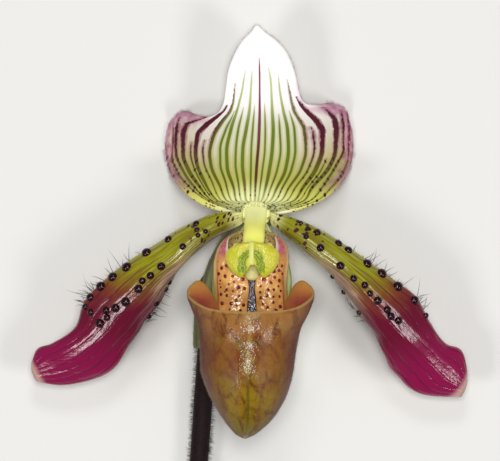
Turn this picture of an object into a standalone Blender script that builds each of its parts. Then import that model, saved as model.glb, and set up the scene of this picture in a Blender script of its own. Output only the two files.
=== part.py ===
"""A slipper orchid flower, picked with a short stem and laid on its back on a table.

The flower faces +Z, its dorsal sepal points to +Y, and the table is the plane z = 0.
Shapes are written in millimetres from the base point, where the flower's parts meet on
the end of the ovary. The last step moves them to their place over the table.
"""

import bmesh
import bpy
import numpy as np

MM = 0.001

# Driving dimensions, in millimetres
BASE_POINT = np.array([1.4, 18.1, 15.5])  # the flower's base over the table's origin
BLADE = 0.85  # thickness of sepals and petals
LIP_WALL = 0.9  # thickness of the pouch
STEM_RADIUS = 2.1
STEM_END_Y = -78.0  # where the stem is cut
WHORL_GAP = 0.3  # clearance between the layers at the base
SEPAL_BASE_Z = 0.45  # middle of the sepals where they sit on the receptacle
PETAL_BASE_Z = 1.65  # middle of the petals, on the sepals
LIP_BASE_Z = 2.95  # middle of the lip's claw, on the petals

# Colours, linear RGB
CREAM_GREEN = (0.62, 0.66, 0.36, 1)
PETAL_GREEN = (0.30, 0.32, 0.03, 1)
POUCH_BROWN = (0.24, 0.12, 0.03, 1)
STAMINODE_GREEN = (0.42, 0.50, 0.03, 1)
COLUMN_YELLOW = (0.72, 0.74, 0.25, 1)
POLLEN_YELLOW = (0.80, 0.62, 0.12, 1)
OVARY_GREEN = (0.16, 0.18, 0.07, 1)
STEM_MAROON = (0.05, 0.015, 0.015, 1)
BRACT_GREEN = (0.28, 0.33, 0.12, 1)


def clear_scene():
    for thing in list(bpy.data.objects):
        bpy.data.objects.remove(thing)


def material(name, colour, roughness=0.5):
    made = bpy.data.materials.new(name)
    made.use_nodes = True
    shader = made.node_tree.nodes["Principled BSDF"]
    shader.inputs["Base Color"].default_value = colour
    shader.inputs["Roughness"].default_value = roughness
    shader.inputs["Metallic"].default_value = 0.0
    return made


def smooth(at, keys, values):
    """A smooth curve through values at keys, read at the parameters in at."""
    keys, values, at = (np.asarray(a, float) for a in (keys, values, at))
    slopes = np.gradient(values, keys, axis=0)
    i = np.clip(np.searchsorted(keys, at, side="right") - 1, 0, len(keys) - 2)
    step = keys[i + 1] - keys[i]
    t = (at - keys[i]) / step
    if values.ndim > 1:
        step, t = step[..., None], t[..., None]
    return (
        values[i] * (1 + 2 * t) * (1 - t) ** 2
        + values[i + 1] * t**2 * (3 - 2 * t)
        + step * slopes[i] * t * (1 - t) ** 2
        - step * slopes[i + 1] * t**2 * (1 - t)
    )


def ramp(x, low, high):
    """A smooth step from 0 at low to 1 at high."""
    t = np.clip((np.asarray(x, float) - low) / (high - low), 0, 1)
    return t * t * (3 - 2 * t)


def grid_faces(rows, columns, closed=False, turned=range(0)):
    """Triangles of a grid of rows by columns points, with the last column joined to the first if closed.
    The columns in turned are split along the other diagonal, so that the two halves of a shape mirror."""
    faces = []
    for r in range(rows - 1):
        for c in range(columns if closed else columns - 1):
            a, b = r * columns + c, r * columns + (c + 1) % columns
            d, e = a + columns, b + columns
            faces += [(a, b, d), (b, e, d)] if c in turned else [(a, b, e), (a, e, d)]
    return faces


def add_object(name, points, faces, paint):
    """A smooth-shaded object from points in millimetres about the base point."""
    mesh = bpy.data.meshes.new(name)
    mesh.from_pydata((np.reshape(points, (-1, 3)) * MM).tolist(), [], faces)
    mesh.update()
    mesh.shade_smooth()
    mesh.materials.append(paint)
    made = bpy.data.objects.new(name, mesh)
    bpy.context.scene.collection.objects.link(made)
    return made


def thicken(made, thickness):
    solid = made.modifiers.new("thickness", "SOLIDIFY")
    solid.thickness = thickness * MM
    solid.offset = 0


def bake(made):
    """Applies the object's modifiers to its mesh."""
    graph = bpy.context.evaluated_depsgraph_get()
    mesh = bpy.data.meshes.new_from_object(made.evaluated_get(graph))
    made.modifiers.clear()
    made.data = mesh


def blade(name, grid, paint, thickness=BLADE, turned=range(0)):
    """A thin solid sheet whose middle surface is the grid, split alike on both faces."""
    made = add_object(name, grid, grid_faces(*grid.shape[:2], turned=turned), paint)
    thicken(made, thickness)
    return made


def tube_rings(path, radii):
    """Rings of points round a path that never runs along X; radii is one row of radii for each path point."""
    path = np.asarray(path, float)
    along = np.gradient(path, axis=0)
    along /= np.linalg.norm(along, axis=1)[:, None]
    side = np.array([1.0, 0, 0]) - along * along[:, :1]
    side /= np.linalg.norm(side, axis=1)[:, None]
    up = np.cross(side, along)
    angle = np.linspace(0, 2 * np.pi, radii.shape[1], endpoint=False)
    ring = side[:, None] * np.cos(angle)[None, :, None] + up[:, None] * np.sin(angle)[None, :, None]
    return path[:, None] + ring * radii[..., None]


def tube(name, path, radii, paint):
    """A closed solid round a path, with flat ends."""
    rings = tube_rings(path, radii)
    rows, columns = rings.shape[:2]
    first = tuple(range(columns))
    last = tuple(range((rows - 1) * columns, rows * columns))
    made = add_object(name, rings, grid_faces(rows, columns, closed=True) + [first[::-1], last], paint)
    point_faces_out(made)
    return made


def point_faces_out(made):
    work = bmesh.new()
    work.from_mesh(made.data)
    bmesh.ops.recalc_face_normals(work, faces=work.faces)
    work.to_mesh(made.data)
    work.free()


def union(made, parts):
    """Joins the parts to made with one Boolean on their collection, then removes them."""
    group = bpy.data.collections.new(made.name + "_parts")
    for part in parts:
        bake(part)
        group.objects.link(part)
    bake(made)
    join = made.modifiers.new("join", "BOOLEAN")
    join.operation = "UNION"
    join.operand_type = "COLLECTION"
    join.collection = group
    join.solver = "EXACT"
    bake(made)
    for part in parts:
        bpy.data.objects.remove(part)
    bpy.data.collections.remove(group)


# The dorsal sepal. A vein coordinate q runs from -1 at the left edge to 1 at the right,
# and v from 0 at the base, through the widest level, to 1 at the upper edge.
SEPAL_BASE_RADIUS = 2.4
SEPAL_LEVEL_Y = 14.6  # height of the widest level
SEPAL_HALF_LEFT = 20.2
SEPAL_HALF_RIGHT = 21.7
SEPAL_REFLEX = 14.5  # how far the side lobes would roll back at their edge, were the table not in the way
SEPAL_TOP_Q = [-1, -0.95, -0.88, -0.8, -0.7, -0.58, -0.47, -0.39, -0.31, -0.24, -0.18, -0.12, -0.05, 0,
               0.05, 0.12, 0.19, 0.26, 0.33, 0.4, 0.5, 0.68, 0.84, 0.93, 1]
SEPAL_TOP = [(-20.3, 15.5), (-19.6, 19.7), (-17.5, 22.6), (-15.5, 23.1), (-13.0, 22.2),
             (-10.2, 21.9), (-7.9, 23.2), (-6.9, 25.4), (-6.5, 28.9), (-6.0, 32.4),
             (-4.7, 35.7), (-3.2, 38.2), (-1.1, 40.4), (0.2, 41.8),
             (2.2, 40.2), (4.6, 38.4), (6.8, 35.9), (8.4, 32.2), (9.1, 29.4),
             (9.7, 26.5), (10.8, 24.9), (14.0, 24.6), (17.8, 24.7), (20.3, 23.0), (21.7, 17.7)]


def dorsal_grid(rows, columns):
    """Below the widest level a vein is a quarter ellipse from a half circle at the base; above it, a curve that
    starts straight up and ends on the upper edge. The sides roll back with the square of their distance from
    the midrib."""
    q = np.linspace(-1, 1, columns)[None, :]
    v = np.linspace(0, 1, rows)[:, None]
    half = np.where(q < 0, SEPAL_HALF_LEFT, SEPAL_HALF_RIGHT)
    turn = np.clip(v / 0.45, 0, 1) * np.pi / 2
    low_x, low_y = SEPAL_BASE_RADIUS * np.sin(q * np.pi / 2), SEPAL_BASE_RADIUS * np.cos(q * np.pi / 2)
    x = low_x + (q * half - low_x) * np.sin(turn)
    y = low_y + (SEPAL_LEVEL_Y - low_y) * (1 - np.cos(turn))
    top = smooth(np.broadcast_to(q, x.shape), SEPAL_TOP_Q, SEPAL_TOP)
    rise = np.clip((v - 0.45) / 0.55, 0, 1)
    x = x + (top[..., 0] - x) * rise**2
    y = y + (top[..., 1] - y) * rise
    lean = smooth(y, [1.7, 4.8, 8, 14, 20, 30, 38, 42], [SEPAL_BASE_Z, 0.4, -0.7, -2.9, -3.9, -3.4, -1.6, -0.2])
    reflex = SEPAL_REFLEX * ramp(y, 1.5, 13) * np.where(y > 16, 1 - 0.35 * ramp(y, 16, 30), 1)
    z = lean - reflex * (x / np.where(x < 0, SEPAL_HALF_LEFT, SEPAL_HALF_RIGHT)) ** 2
    return np.stack([x, y, z], axis=-1)


def dorsal_sepal():
    grid = dorsal_grid(17, 33)
    floor = BLADE / 2 - BASE_POINT[2]
    grid[..., 2] = np.maximum(grid[..., 2], floor)
    left_half = range(grid.shape[1] // 2)
    return blade("dorsal_sepal", grid, material("dorsal_sepal", CREAM_GREEN), turned=left_half)


# The synsepal, two lower sepals grown into one, behind the pouch
SYNSEPAL_REACH = [1.7, 5, 10, 17, 24, 30, 33.5]  # distance below the base point
SYNSEPAL_HALF = [2.3, 4.5, 7.8, 8.7, 7.6, 4.4, 0.8]
SYNSEPAL_Z = [SEPAL_BASE_Z, 0.4, -1.0, -2.0, -2.0, -1.6, -0.8]
SYNSEPAL_SHIFT = -0.9


def synsepal_grid(rows, columns):
    """A pointed blade, its half-width and depth smooth functions of y, its sides cupped towards the pouch."""
    q = np.linspace(-1, 1, columns)[None, :]
    reach = np.linspace(SYNSEPAL_REACH[0], SYNSEPAL_REACH[-1], rows)[:, None] + 0 * q
    half = smooth(reach, SYNSEPAL_REACH, SYNSEPAL_HALF)
    x = q * half + SYNSEPAL_SHIFT * ramp(reach, 2, 12)
    z = smooth(reach, SYNSEPAL_REACH, SYNSEPAL_Z) + 1.5 * q**2 * ramp(half, 3, 9)
    return np.stack([x, -reach, z], axis=-1)


def synsepal():
    return blade("synsepal", synsepal_grid(15, 13)[:, ::-1], material("synsepal", CREAM_GREEN))


# The petals. Three curves run from base to tip: the upper edge, the folded midrib that
# stands out towards the viewer, and the lower edge that is folded back.
PETAL_STEPS = [0, 0.12, 0.25, 0.38, 0.5, 0.62, 0.74, 0.84, 0.92, 0.97, 1]
PETAL_DEPTH_UPPER = [PETAL_BASE_Z, 2.6, 2.4, 2.2, 1.8, 0.8, -0.5, -2.0, -4.5, -6.6, -7.2]
PETAL_DEPTH_RIB = [PETAL_BASE_Z, 4.0, 5.5, 6.0, 5.5, 4.0, 2.2, 0.4, -2.5, -5.0, -6.5]
PETAL_DEPTH_LOWER = [PETAL_BASE_Z, 0.0, -0.8, -0.5, 0, 0, -0.5, -2.0, -5.0, -6.8, -7.2]
LEFT_UPPER = [(-2.9, 0.7), (-8.6, 0.4), (-16.5, -2.9), (-21.7, -6.3), (-27.5, -9.9), (-33.0, -14.1),
              (-37.9, -19.4), (-40.1, -25.1), (-45.1, -28.4), (-48.7, -30.1), (-49.6, -33.2)]
LEFT_RIB = [(-2.9, -0.6), (-8.8, -3.3), (-13.8, -6.8), (-17.9, -10.7), (-22.1, -14.0), (-26.1, -18.2),
            (-30.3, -22.4), (-34.5, -27.3), (-40.6, -31.8), (-45.5, -33.8), (-49.5, -35.0)]
LEFT_LOWER = [(-2.9, -1.8), (-8.6, -4.3), (-13.0, -7.5), (-16.9, -11.2), (-19.1, -15.2), (-21.3, -19.4),
              (-24.2, -23.1), (-27.8, -28.4), (-33.8, -35.4), (-43.0, -37.6), (-48.5, -36.8)]
RIGHT_UPPER = [(3.1, 0.7), (8.6, -0.9), (14.5, -3.5), (20.2, -7.1), (25.5, -10.8), (30.8, -14.7),
               (35.4, -18.3), (38.4, -23.8), (42.0, -28.5), (45.9, -30.8), (46.8, -36.1)]
RIGHT_RIB = [(3.1, -0.6), (7.4, -4.0), (12.2, -7.5), (17.5, -11.4), (21.9, -15.3), (26.1, -19.7),
             (30.3, -24.4), (33.9, -28.2), (38.2, -32.4), (42.7, -36.7), (46.4, -38.3)]
RIGHT_LOWER = [(3.1, -1.8), (7.3, -4.8), (11.9, -8.7), (16.3, -12.8), (19.8, -17.6), (23.1, -22.0),
               (26.0, -26.0), (28.2, -30.6), (31.2, -35.4), (37.0, -39.6), (45.4, -40.2)]
PETAL_FLUTES = 5  # long ribs across the blade
FLUTE_HEIGHT = 0.16

# Warts: (x, y, radius) on the petal, seen from the front
LEFT_WARTS = [(-13.2, -1.9, 0.6), (-19.2, -5.3, 0.7), (-24.0, -8.4, 0.85), (-28.5, -11.4, 0.9),
              (-31.4, -13.5, 0.85), (-34.2, -15.6, 0.85), (-36.4, -18.1, 0.7), (-37.5, -20.3, 0.55),
              (-12.9, -3.2, 0.5), (-12.8, -4.4, 0.45), (-11.1, -3.6, 0.45), (-16.0, -6.8, 0.6),
              (-20.8, -11.2, 0.75), (-23.1, -13.3, 0.7), (-25.0, -14.4, 0.65), (-25.7, -16.3, 0.8),
              (-28.5, -19.0, 0.85), (-30.9, -20.4, 0.8), (-33.0, -20.8, 0.7), (-32.8, -22.5, 0.6),
              (-36.3, -21.3, 0.6), (-34.4, -23.9, 0.8),
              (-19.0, -14.8, 0.5), (-19.8, -16.4, 0.5), (-21.8, -19.6, 0.55), (-23.6, -22.4, 0.5)]
RIGHT_WARTS = [(9.8, -1.8, 0.4), (13.5, -3.8, 0.65), (18.0, -6.2, 0.7), (20.2, -7.7, 0.75), (24.4, -10.8, 0.85),
               (27.6, -12.8, 0.9), (31.2, -15.6, 0.9), (34.9, -18.7, 0.8), (37.5, -22.0, 0.5),
               (11.4, -2.9, 0.45), (10.9, -4.8, 0.5), (14.2, -7.2, 0.7), (18.5, -11.1, 0.75),
               (21.3, -13.9, 0.65), (23.8, -15.4, 0.65), (24.9, -17.1, 0.6), (26.6, -18.8, 0.75),
               (28.9, -20.8, 0.7), (29.6, -22.3, 0.7), (31.3, -23.3, 0.7),
               (16.8, -13.6, 0.45), (19.3, -16.9, 0.5), (22.6, -21.4, 0.5)]
WART_SIDES = 7
WART_RINGS = 4


def petal_grid(upper, rib, lower, rows, columns):
    """Across the blade, t runs from -1 at the lower edge to 1 at the upper, on the parabola through the three
    curves, with long shallow flutes. The flutes fade out at the edges and at the base."""
    s = np.linspace(0, 1, rows)[:, None]
    t = np.linspace(-1, 1, columns)[None, :]
    curves = []
    for outline, depth in ((lower, PETAL_DEPTH_LOWER), (rib, PETAL_DEPTH_RIB), (upper, PETAL_DEPTH_UPPER)):
        keys = np.column_stack([outline, depth])
        curves.append(smooth(s, PETAL_STEPS, keys))
    low, mid, high = curves
    t3 = t[..., None]
    grid = low * (t3 * (t3 - 1) / 2) + mid * (1 - t3**2) + high * (t3 * (t3 + 1) / 2)
    flute = FLUTE_HEIGHT * np.cos(t * np.pi * PETAL_FLUTES) * (1 - t**2) * ramp(s, 0.1, 0.4)
    grid[..., 2] += flute
    return grid


def petal(name, upper, rib, lower, warts):
    grid = petal_grid(upper, rib, lower, 25, 15)
    paint = material(name, PETAL_GREEN)
    if grid[-1, 0, 0] < 0:
        grid = grid[:, ::-1]
    made = blade(name, grid, paint)
    bumps = []
    spots = grid.reshape(-1, 3)
    for x, y, radius in warts:
        nearest = spots[np.argmin((spots[:, 0] - x) ** 2 + (spots[:, 1] - y) ** 2)]
        work = bmesh.new()
        bmesh.ops.create_uvsphere(work, u_segments=WART_SIDES, v_segments=WART_RINGS, radius=radius * MM)
        bmesh.ops.translate(work, verts=work.verts, vec=(nearest + (0, 0, BLADE / 2)) * MM)
        mesh = bpy.data.meshes.new("wart")
        work.to_mesh(mesh)
        work.free()
        bump = bpy.data.objects.new("wart", mesh)
        bpy.context.scene.collection.objects.link(bump)
        bumps.append(bump)
    union(made, bumps)
    return made


# The lip, a pouch open at the top, with an ear each side of its mouth and a claw behind.
# An angle f runs round each level: 0 at the front, 90 at the sides, 180 at the back.
LIP_Y = [-47.9, -47.3, -46.2, -44.0, -41.3, -37.2, -34.0, -31.0, -27.8, -24.4, -20.9, -16.5, -14.2]
LIP_HALF = [0.4, 1.6, 2.9, 4.9, 6.7, 8.6, 9.5, 9.8, 10.15, 10.9, 12.55, 14.2, 14.7]
LIP_CENTRE_X = [-2.4, -2.3, -2.1, -1.8, -1.7, -1.8, -1.9, -1.8, -1.6, -1.3, -1.1, -1.2, -1.3]
LIP_FRONT_Z = [17.4, 18.9, 20.4, 22.5, 24.1, 25.8, 26.4, 26.2, 25.8, 26.1, 25.4, 23.8, 23.0]
LIP_BACK_Z = [16.6, 15.4, 14.0, 12.2, 10.4, 8.4, 7.4, 6.6, 6.0, 5.4, 4.9, 4.3, 4.0]
CLAW_Y = [-2.6, -4.5, -7.0, -10.0, -14.0, -20.9]
CLAW_HALF = [2.2, 5.4, 7.3, 7.9, 7.7, 7.6]
CLAW_BACK_Z = [LIP_BASE_Z, 3.0, 3.1, 3.3, 3.8, 4.9]
RIM_ANGLE = [0, 30, 45, 57, 68, 78, 84, 88, 92, 95, 98, 100, 102, 104, 106, 110, 116, 130, 150, 180]
RIM_Y = [-20.9, -20.6, -20.1, -19.3, -18.2, -16.7, -15.1, -14.3, -14.9, -16.4, -18.2, -17.8, -13.5, -8.8, -6.4,
         -5.5, -4.9, -4.2, -3.4, -2.6]
LIP_ANGLES = [0, 10, 20, 30, 39, 48, 57, 65, 72, 78, 83, 88, 92, 95.5, 98.5, 101, 103.5, 106, 110, 117, 126, 137, 150,
              165, 180]


def lip_ring(y, angle):
    """The lip's wall at height y and angle: an ellipse in the pouch, boxy and narrower at the back by the claw."""
    boxy = 1 - 0.38 * ramp(y, -30, -19) * ramp(angle, 80, 125)
    half_front = smooth(np.minimum(y, LIP_Y[-1]), LIP_Y, LIP_HALF)
    half_claw = smooth(np.clip(y, CLAW_Y[-1], CLAW_Y[0]), CLAW_Y[::-1], CLAW_HALF[::-1])
    half_back = half_front + (half_claw - half_front) * ramp(y, -28, -20.9)
    half = half_front + (half_back - half_front) * ramp(angle, 75, 103)
    front = smooth(np.minimum(y, LIP_Y[-1]), LIP_Y, LIP_FRONT_Z)
    back = np.where(y < CLAW_Y[-1], smooth(np.minimum(y, LIP_Y[-1]), LIP_Y, LIP_BACK_Z),
                    smooth(np.clip(y, CLAW_Y[-1], CLAW_Y[0]), CLAW_Y[::-1], CLAW_BACK_Z[::-1]))
    middle = (front + back) / 2
    turn = np.radians(angle)
    across = np.abs(np.sin(turn)) ** boxy
    ahead = np.sign(np.cos(turn)) * np.abs(np.cos(turn)) ** boxy
    centre = smooth(np.clip(y, LIP_Y[0], LIP_Y[-1]), LIP_Y, LIP_CENTRE_X) * (1 - 0.6 * ramp(y, -14, -4))
    return centre, half * across, middle + (front - back) / 2 * ahead


def lip_point(y, angle):
    """The wall's middle surface at height y and a signed angle, negative on the left."""
    centre, across, z = lip_ring(y, np.abs(angle) + 0 * y)
    return np.stack([centre + np.sign(angle) * across, y + 0 * angle, z], axis=-1)


def lip_grid(rows, angles):
    """Meridians from the toe up to the rim, whose height depends on the angle."""
    angle = np.asarray(angles, float)[None, :]
    rim = smooth(np.abs(angle), RIM_ANGLE, RIM_Y)
    rise = np.linspace(0, 1, rows)[:, None] ** 1.25
    return lip_point(LIP_Y[0] + (rim - LIP_Y[0]) * rise, angle)


# The side lobes, turned in to close the claw into a tube with a slit down its front
LOBE_Y = [-24.5, -20.0, -14.5, -12.0, -9.5, -7.4, -6.2]
LOBE_INNER_X = [0.9, 0.8, 0.75, 3.2, 5.2, 5.8, 6.0]  # half of the slit between the lobes
LOBE_INNER_Z = [11.2, 11.4, 11.4, 11.2, 10.8, 10.2, 9.6]
LOBE_SLIT_X = -0.9
LOBE_ROOT_ANGLE = 108
LOBE_BULGE = 1.5


def lobe_grid(side, rows, columns):
    """A strip from the claw's wall to the slit, bulging forward and outward between the two."""
    y = np.linspace(LOBE_Y[0], LOBE_Y[-1], rows)[:, None]
    u = np.linspace(0, 1, columns)[None, :, None]
    root = lip_point(y, np.array([[side * LOBE_ROOT_ANGLE]]))
    edge = np.stack([LOBE_SLIT_X + side * smooth(y, LOBE_Y, LOBE_INNER_X), y, smooth(y, LOBE_Y, LOBE_INNER_Z)], axis=-1)
    grid = root + (edge - root) * u
    width = np.abs(edge - root)[..., 0]
    grid[..., 2] += LOBE_BULGE * np.minimum(width, 6) / 6 * np.sin(np.pi * u[..., 0])
    return grid


def lip():
    paint = material("lip", POUCH_BROWN, 0.35)
    grid = lip_grid(16, [-a for a in LIP_ANGLES[:0:-1]] + LIP_ANGLES)
    rows, columns = grid.shape[:2]
    ring = grid[:, :-1]
    faces = grid_faces(rows, columns - 1, True, range(columns // 2, columns)) + [tuple(range(columns - 1))]
    made = add_object("lip", ring, faces, paint)
    point_faces_out(made)
    thicken(made, LIP_WALL)
    lobes = []
    for side in (-1, 1):
        lobes.append(blade("lobe", lobe_grid(side, 11, 7)[:, ::side], paint, 0.8))
    union(made, lobes)
    return made


# The column and what it carries
COLUMN_PATH = [(0, 0.1, 2.9), (0, 0.0, 6.0), (-0.2, -1.4, 9.6), (-0.5, -3.6, 12.1), (-0.7, -5.5, 12.6)]
COLUMN_RADIUS = [2.2, 2.25, 2.35, 2.4, 2.0]
STIGMA_PATH = [(-0.6, -4.0, 10.8), (-0.8, -8.0, 10.9), (-0.9, -11.5, 11.9), (-0.9, -14.3, 12.6)]
STIGMA_HALF_WIDTH = [1.5, 1.8, 1.9, 1.2]
STIGMA_HALF_DEPTH = 0.75
STAMINODE_CENTRE = np.array([-0.8, -8.9, 15.2])
STAMINODE_MIDDLE = 0.7  # radius of the innermost ring
STAMINODE_THICKNESS = 1.1
POLLEN_RADIUS = (1.1, 1.7, 0.9)


def steps(keys):
    return np.linspace(0, 1, len(keys))


def column():
    """A bent stalk, with the stigma as a flattened tongue below it."""
    paint = material("column", COLUMN_YELLOW)
    s = np.linspace(0, 1, 11)
    path = smooth(s, steps(COLUMN_PATH), COLUMN_PATH)
    radii = smooth(s, steps(COLUMN_RADIUS), COLUMN_RADIUS)[:, None] * np.ones(16)
    made = tube("column", path, radii, paint)
    s = np.linspace(0, 1, 9)
    path = smooth(s, steps(STIGMA_PATH), STIGMA_PATH)
    angle = np.linspace(0, 2 * np.pi, 12, endpoint=False)
    half = smooth(s, steps(STIGMA_HALF_WIDTH), STIGMA_HALF_WIDTH)[:, None]
    radii = 1 / np.sqrt((np.cos(angle) / half) ** 2 + (np.sin(angle) / STIGMA_HALF_DEPTH) ** 2)
    union(made, [tube("stigma", path, radii, paint)])
    return made


def staminode_outline(angle):
    """Radius of the shield at an angle from straight down: a round plate with a deep notch at the bottom
    between two blunt horns, and a low point at the top."""
    wide = 5.85 + 0 * angle
    high = np.where(np.cos(angle) < 0, 3.0, 5.3)
    plate = 1 / np.sqrt((np.sin(angle) / wide) ** 2 + (np.cos(angle) / high) ** 2)
    notch = 1 - 0.66 * (1 - ramp(np.abs(angle), 0.12, 0.42))
    point = 1 + 0.08 * np.exp(-(((np.abs(angle) - np.pi) / 0.2) ** 2))
    return plate * notch * point


def staminode():
    """Rings from the middle to the outline, domed towards the viewer, with more points near the notch."""
    even = np.linspace(-np.pi, np.pi, 44, endpoint=False)[None, :]
    angle = even - 0.6 * np.sin(even)
    share = np.linspace(0, 1, 5)[:, None]
    radius = STAMINODE_MIDDLE + (staminode_outline(angle) - STAMINODE_MIDDLE) * share
    x = STAMINODE_CENTRE[0] + radius * np.sin(angle)
    y = STAMINODE_CENTRE[1] - radius * np.cos(angle)
    z = STAMINODE_CENTRE[2] - 1.5 * (radius / 5.85) ** 2
    grid = np.stack([x, y, z], axis=-1)
    rows, columns = grid.shape[:2]
    faces = grid_faces(rows, columns, closed=True) + [tuple(range(columns))[::-1]]
    back = grid - (0, 0, STAMINODE_THICKNESS)
    count = rows * columns
    rim = count - columns
    wall = []
    for c in range(columns):
        a, b = rim + c, rim + (c + 1) % columns
        wall += [(a, a + count, b + count), (a, b + count, b)]
    faces += [tuple(i + count for i in face) for face in faces] + wall
    made = add_object("staminode", np.stack([grid, back]), faces, material("staminode", STAMINODE_GREEN))
    point_faces_out(made)
    return made


def pollinium(name, side):
    """A soft pollen mass beside the column, behind the shield."""
    work = bmesh.new()
    bmesh.ops.create_uvsphere(work, u_segments=12, v_segments=8, radius=1)
    bmesh.ops.scale(work, verts=work.verts, vec=POLLEN_RADIUS)
    place = (-0.7 + side * 3.6, -7.8, 11.5)
    bmesh.ops.translate(work, verts=work.verts, vec=place)
    bmesh.ops.scale(work, verts=work.verts, vec=(MM, MM, MM))
    mesh = bpy.data.meshes.new(name)
    work.to_mesh(mesh)
    work.free()
    mesh.shade_smooth()
    mesh.materials.append(material(name, POLLEN_YELLOW, 0.4))
    made = bpy.data.objects.new(name, mesh)
    bpy.context.scene.collection.objects.link(made)
    return made


# The ovary, the bract and the stem
OVARY_PATH = [(-10.7, -27.0, -11.4), (-10.1, -19.5, -11.5), (-8.7, -12.5, -11.7), (-5.0, -5.4, -11.3),
              (-1.5, -1.2, -8.3), (-0.1, 0.0, -4.4), (0.0, 0.0, -1.6), (0.0, 0.0, -0.3)]
OVARY_RADIUS = [2.05, 2.25, 2.35, 2.4, 2.4, 2.5, 3.4, 3.9]
OVARY_RIBS = 6
RIB_HEIGHT = 0.16
STEM_TOP = np.array([-10.75, -27.6, -11.4])
BRACT_LENGTH = 17.0
BRACT_GAP = 0.35
BRACT_THICKNESS = 0.7


def ovary():
    s = np.linspace(0, 1, 22)
    path = smooth(s, steps(OVARY_PATH), OVARY_PATH)
    angle = np.linspace(0, 2 * np.pi, 24, endpoint=False)[None, :]
    ribs = RIB_HEIGHT * np.cos(OVARY_RIBS * angle) * (ramp(s, 0.05, 0.2) * (1 - ramp(s, 0.8, 0.95)))[:, None]
    radii = smooth(s, steps(OVARY_RADIUS), OVARY_RADIUS)[:, None] + ribs
    return tube("ovary", path, radii, material("ovary", OVARY_GREEN))


def stem_point(y):
    """The stem's middle at height y: it leaves the ovary in line and comes down until it lies on the table."""
    along = (y - STEM_TOP[1]) / (STEM_END_Y - STEM_TOP[1])
    x = STEM_TOP[0] - 3.6 * along
    z = STEM_TOP[2] + (-BASE_POINT[2] + STEM_RADIUS - STEM_TOP[2]) * ramp(along, -0.3, 1)
    return np.stack([x, y + 0 * along, z], axis=-1)


def scape():
    path = stem_point(np.linspace(STEM_END_Y, STEM_TOP[1], 13))
    radii = np.full((13, 16), STEM_RADIUS)
    return tube("scape", path, radii, material("scape", STEM_MAROON))


def bract():
    """A pointed sheath round the back of the ovary's foot: an arc of a ring, whose opening widens along it."""
    s = np.linspace(0, 1, 11)
    y = STEM_TOP[1] - 2.0 + BRACT_LENGTH * s
    ovary_line = smooth(np.linspace(0, 1, 40), steps(OVARY_PATH), OVARY_PATH)
    middle = np.stack([np.interp(y, ovary_line[:20, 1], ovary_line[:20, 0]), y,
                       np.interp(y, ovary_line[:20, 1], ovary_line[:20, 2])], axis=-1)
    spread = np.radians(smooth(s, [0, 0.3, 0.7, 0.92, 1], [125, 115, 75, 30, 8]))[:, None]
    turn = spread * np.linspace(-1, 1, 15)[None, :] - np.pi / 2 - 0.5
    ovary_reach = smooth(np.interp(y, ovary_line[:20, 1], np.linspace(0, 1, 40)[:20]),
                         steps(OVARY_RADIUS), OVARY_RADIUS) + RIB_HEIGHT
    radius = (np.maximum(ovary_reach, STEM_RADIUS) + BRACT_GAP + BRACT_THICKNESS / 2)[:, None]
    grid = middle[:, None] + np.stack([radius * np.cos(turn), 0 * turn, radius * np.sin(turn)], axis=-1)
    return blade("bract", grid, material("bract", BRACT_GREEN), BRACT_THICKNESS)


def place_over_table(parts):
    stand = bpy.data.objects.new("flower", None)
    bpy.context.scene.collection.objects.link(stand)
    stand.location = BASE_POINT * MM
    for part in parts:
        part.parent = stand


def main():
    clear_scene()
    place_over_table([
        dorsal_sepal(),
        synsepal(),
        petal("petal_left", LEFT_UPPER, LEFT_RIB, LEFT_LOWER, LEFT_WARTS),
        petal("petal_right", RIGHT_UPPER, RIGHT_RIB, RIGHT_LOWER, RIGHT_WARTS),
        lip(),
        column(),
        staminode(),
        pollinium("pollinium_left", -1),
        pollinium("pollinium_right", 1),
        ovary(),
        scape(),
        bract(),
    ])


main()
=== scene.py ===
"""A slipper orchid flower on a short cut stem, laid on its back on a pale table.

Every surface is a function of two parameters, worked out on a whole grid at once. Lengths
in the formulas are millimetres from the base point, where the flower's parts meet. The
picture's colours come from node formulas of the same coordinates.
"""

import bpy
import numpy as np
from bpy.props import FloatProperty, FloatVectorProperty, IntProperty, PointerProperty
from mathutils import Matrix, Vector


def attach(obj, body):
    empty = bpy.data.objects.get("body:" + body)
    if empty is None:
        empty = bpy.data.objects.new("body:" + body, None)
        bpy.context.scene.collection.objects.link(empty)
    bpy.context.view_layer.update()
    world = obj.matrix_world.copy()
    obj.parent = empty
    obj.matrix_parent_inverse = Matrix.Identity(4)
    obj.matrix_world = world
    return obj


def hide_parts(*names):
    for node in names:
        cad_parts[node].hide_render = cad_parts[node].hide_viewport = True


bl_info = {
    "name": "Slipper orchid",
    "version": (1, 0, 0),
    "blender": (4, 5, 0),
    "location": "3D View > Sidebar > Orchid",
    "description": "Builds a slipper orchid flower on a cut stem",
    "category": "Add Mesh",
}

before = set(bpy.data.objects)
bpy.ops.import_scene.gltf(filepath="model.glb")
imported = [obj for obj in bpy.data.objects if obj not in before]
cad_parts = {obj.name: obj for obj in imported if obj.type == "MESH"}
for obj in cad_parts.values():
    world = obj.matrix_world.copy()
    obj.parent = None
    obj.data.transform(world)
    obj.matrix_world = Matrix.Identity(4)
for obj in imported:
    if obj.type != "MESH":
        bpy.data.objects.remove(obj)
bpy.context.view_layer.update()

MM = 0.001
BASE_POINT = np.array([1.4, 18.1, 15.5])  # the flower's base over the table's origin
SEED = 7


# Curves and blends

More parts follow.
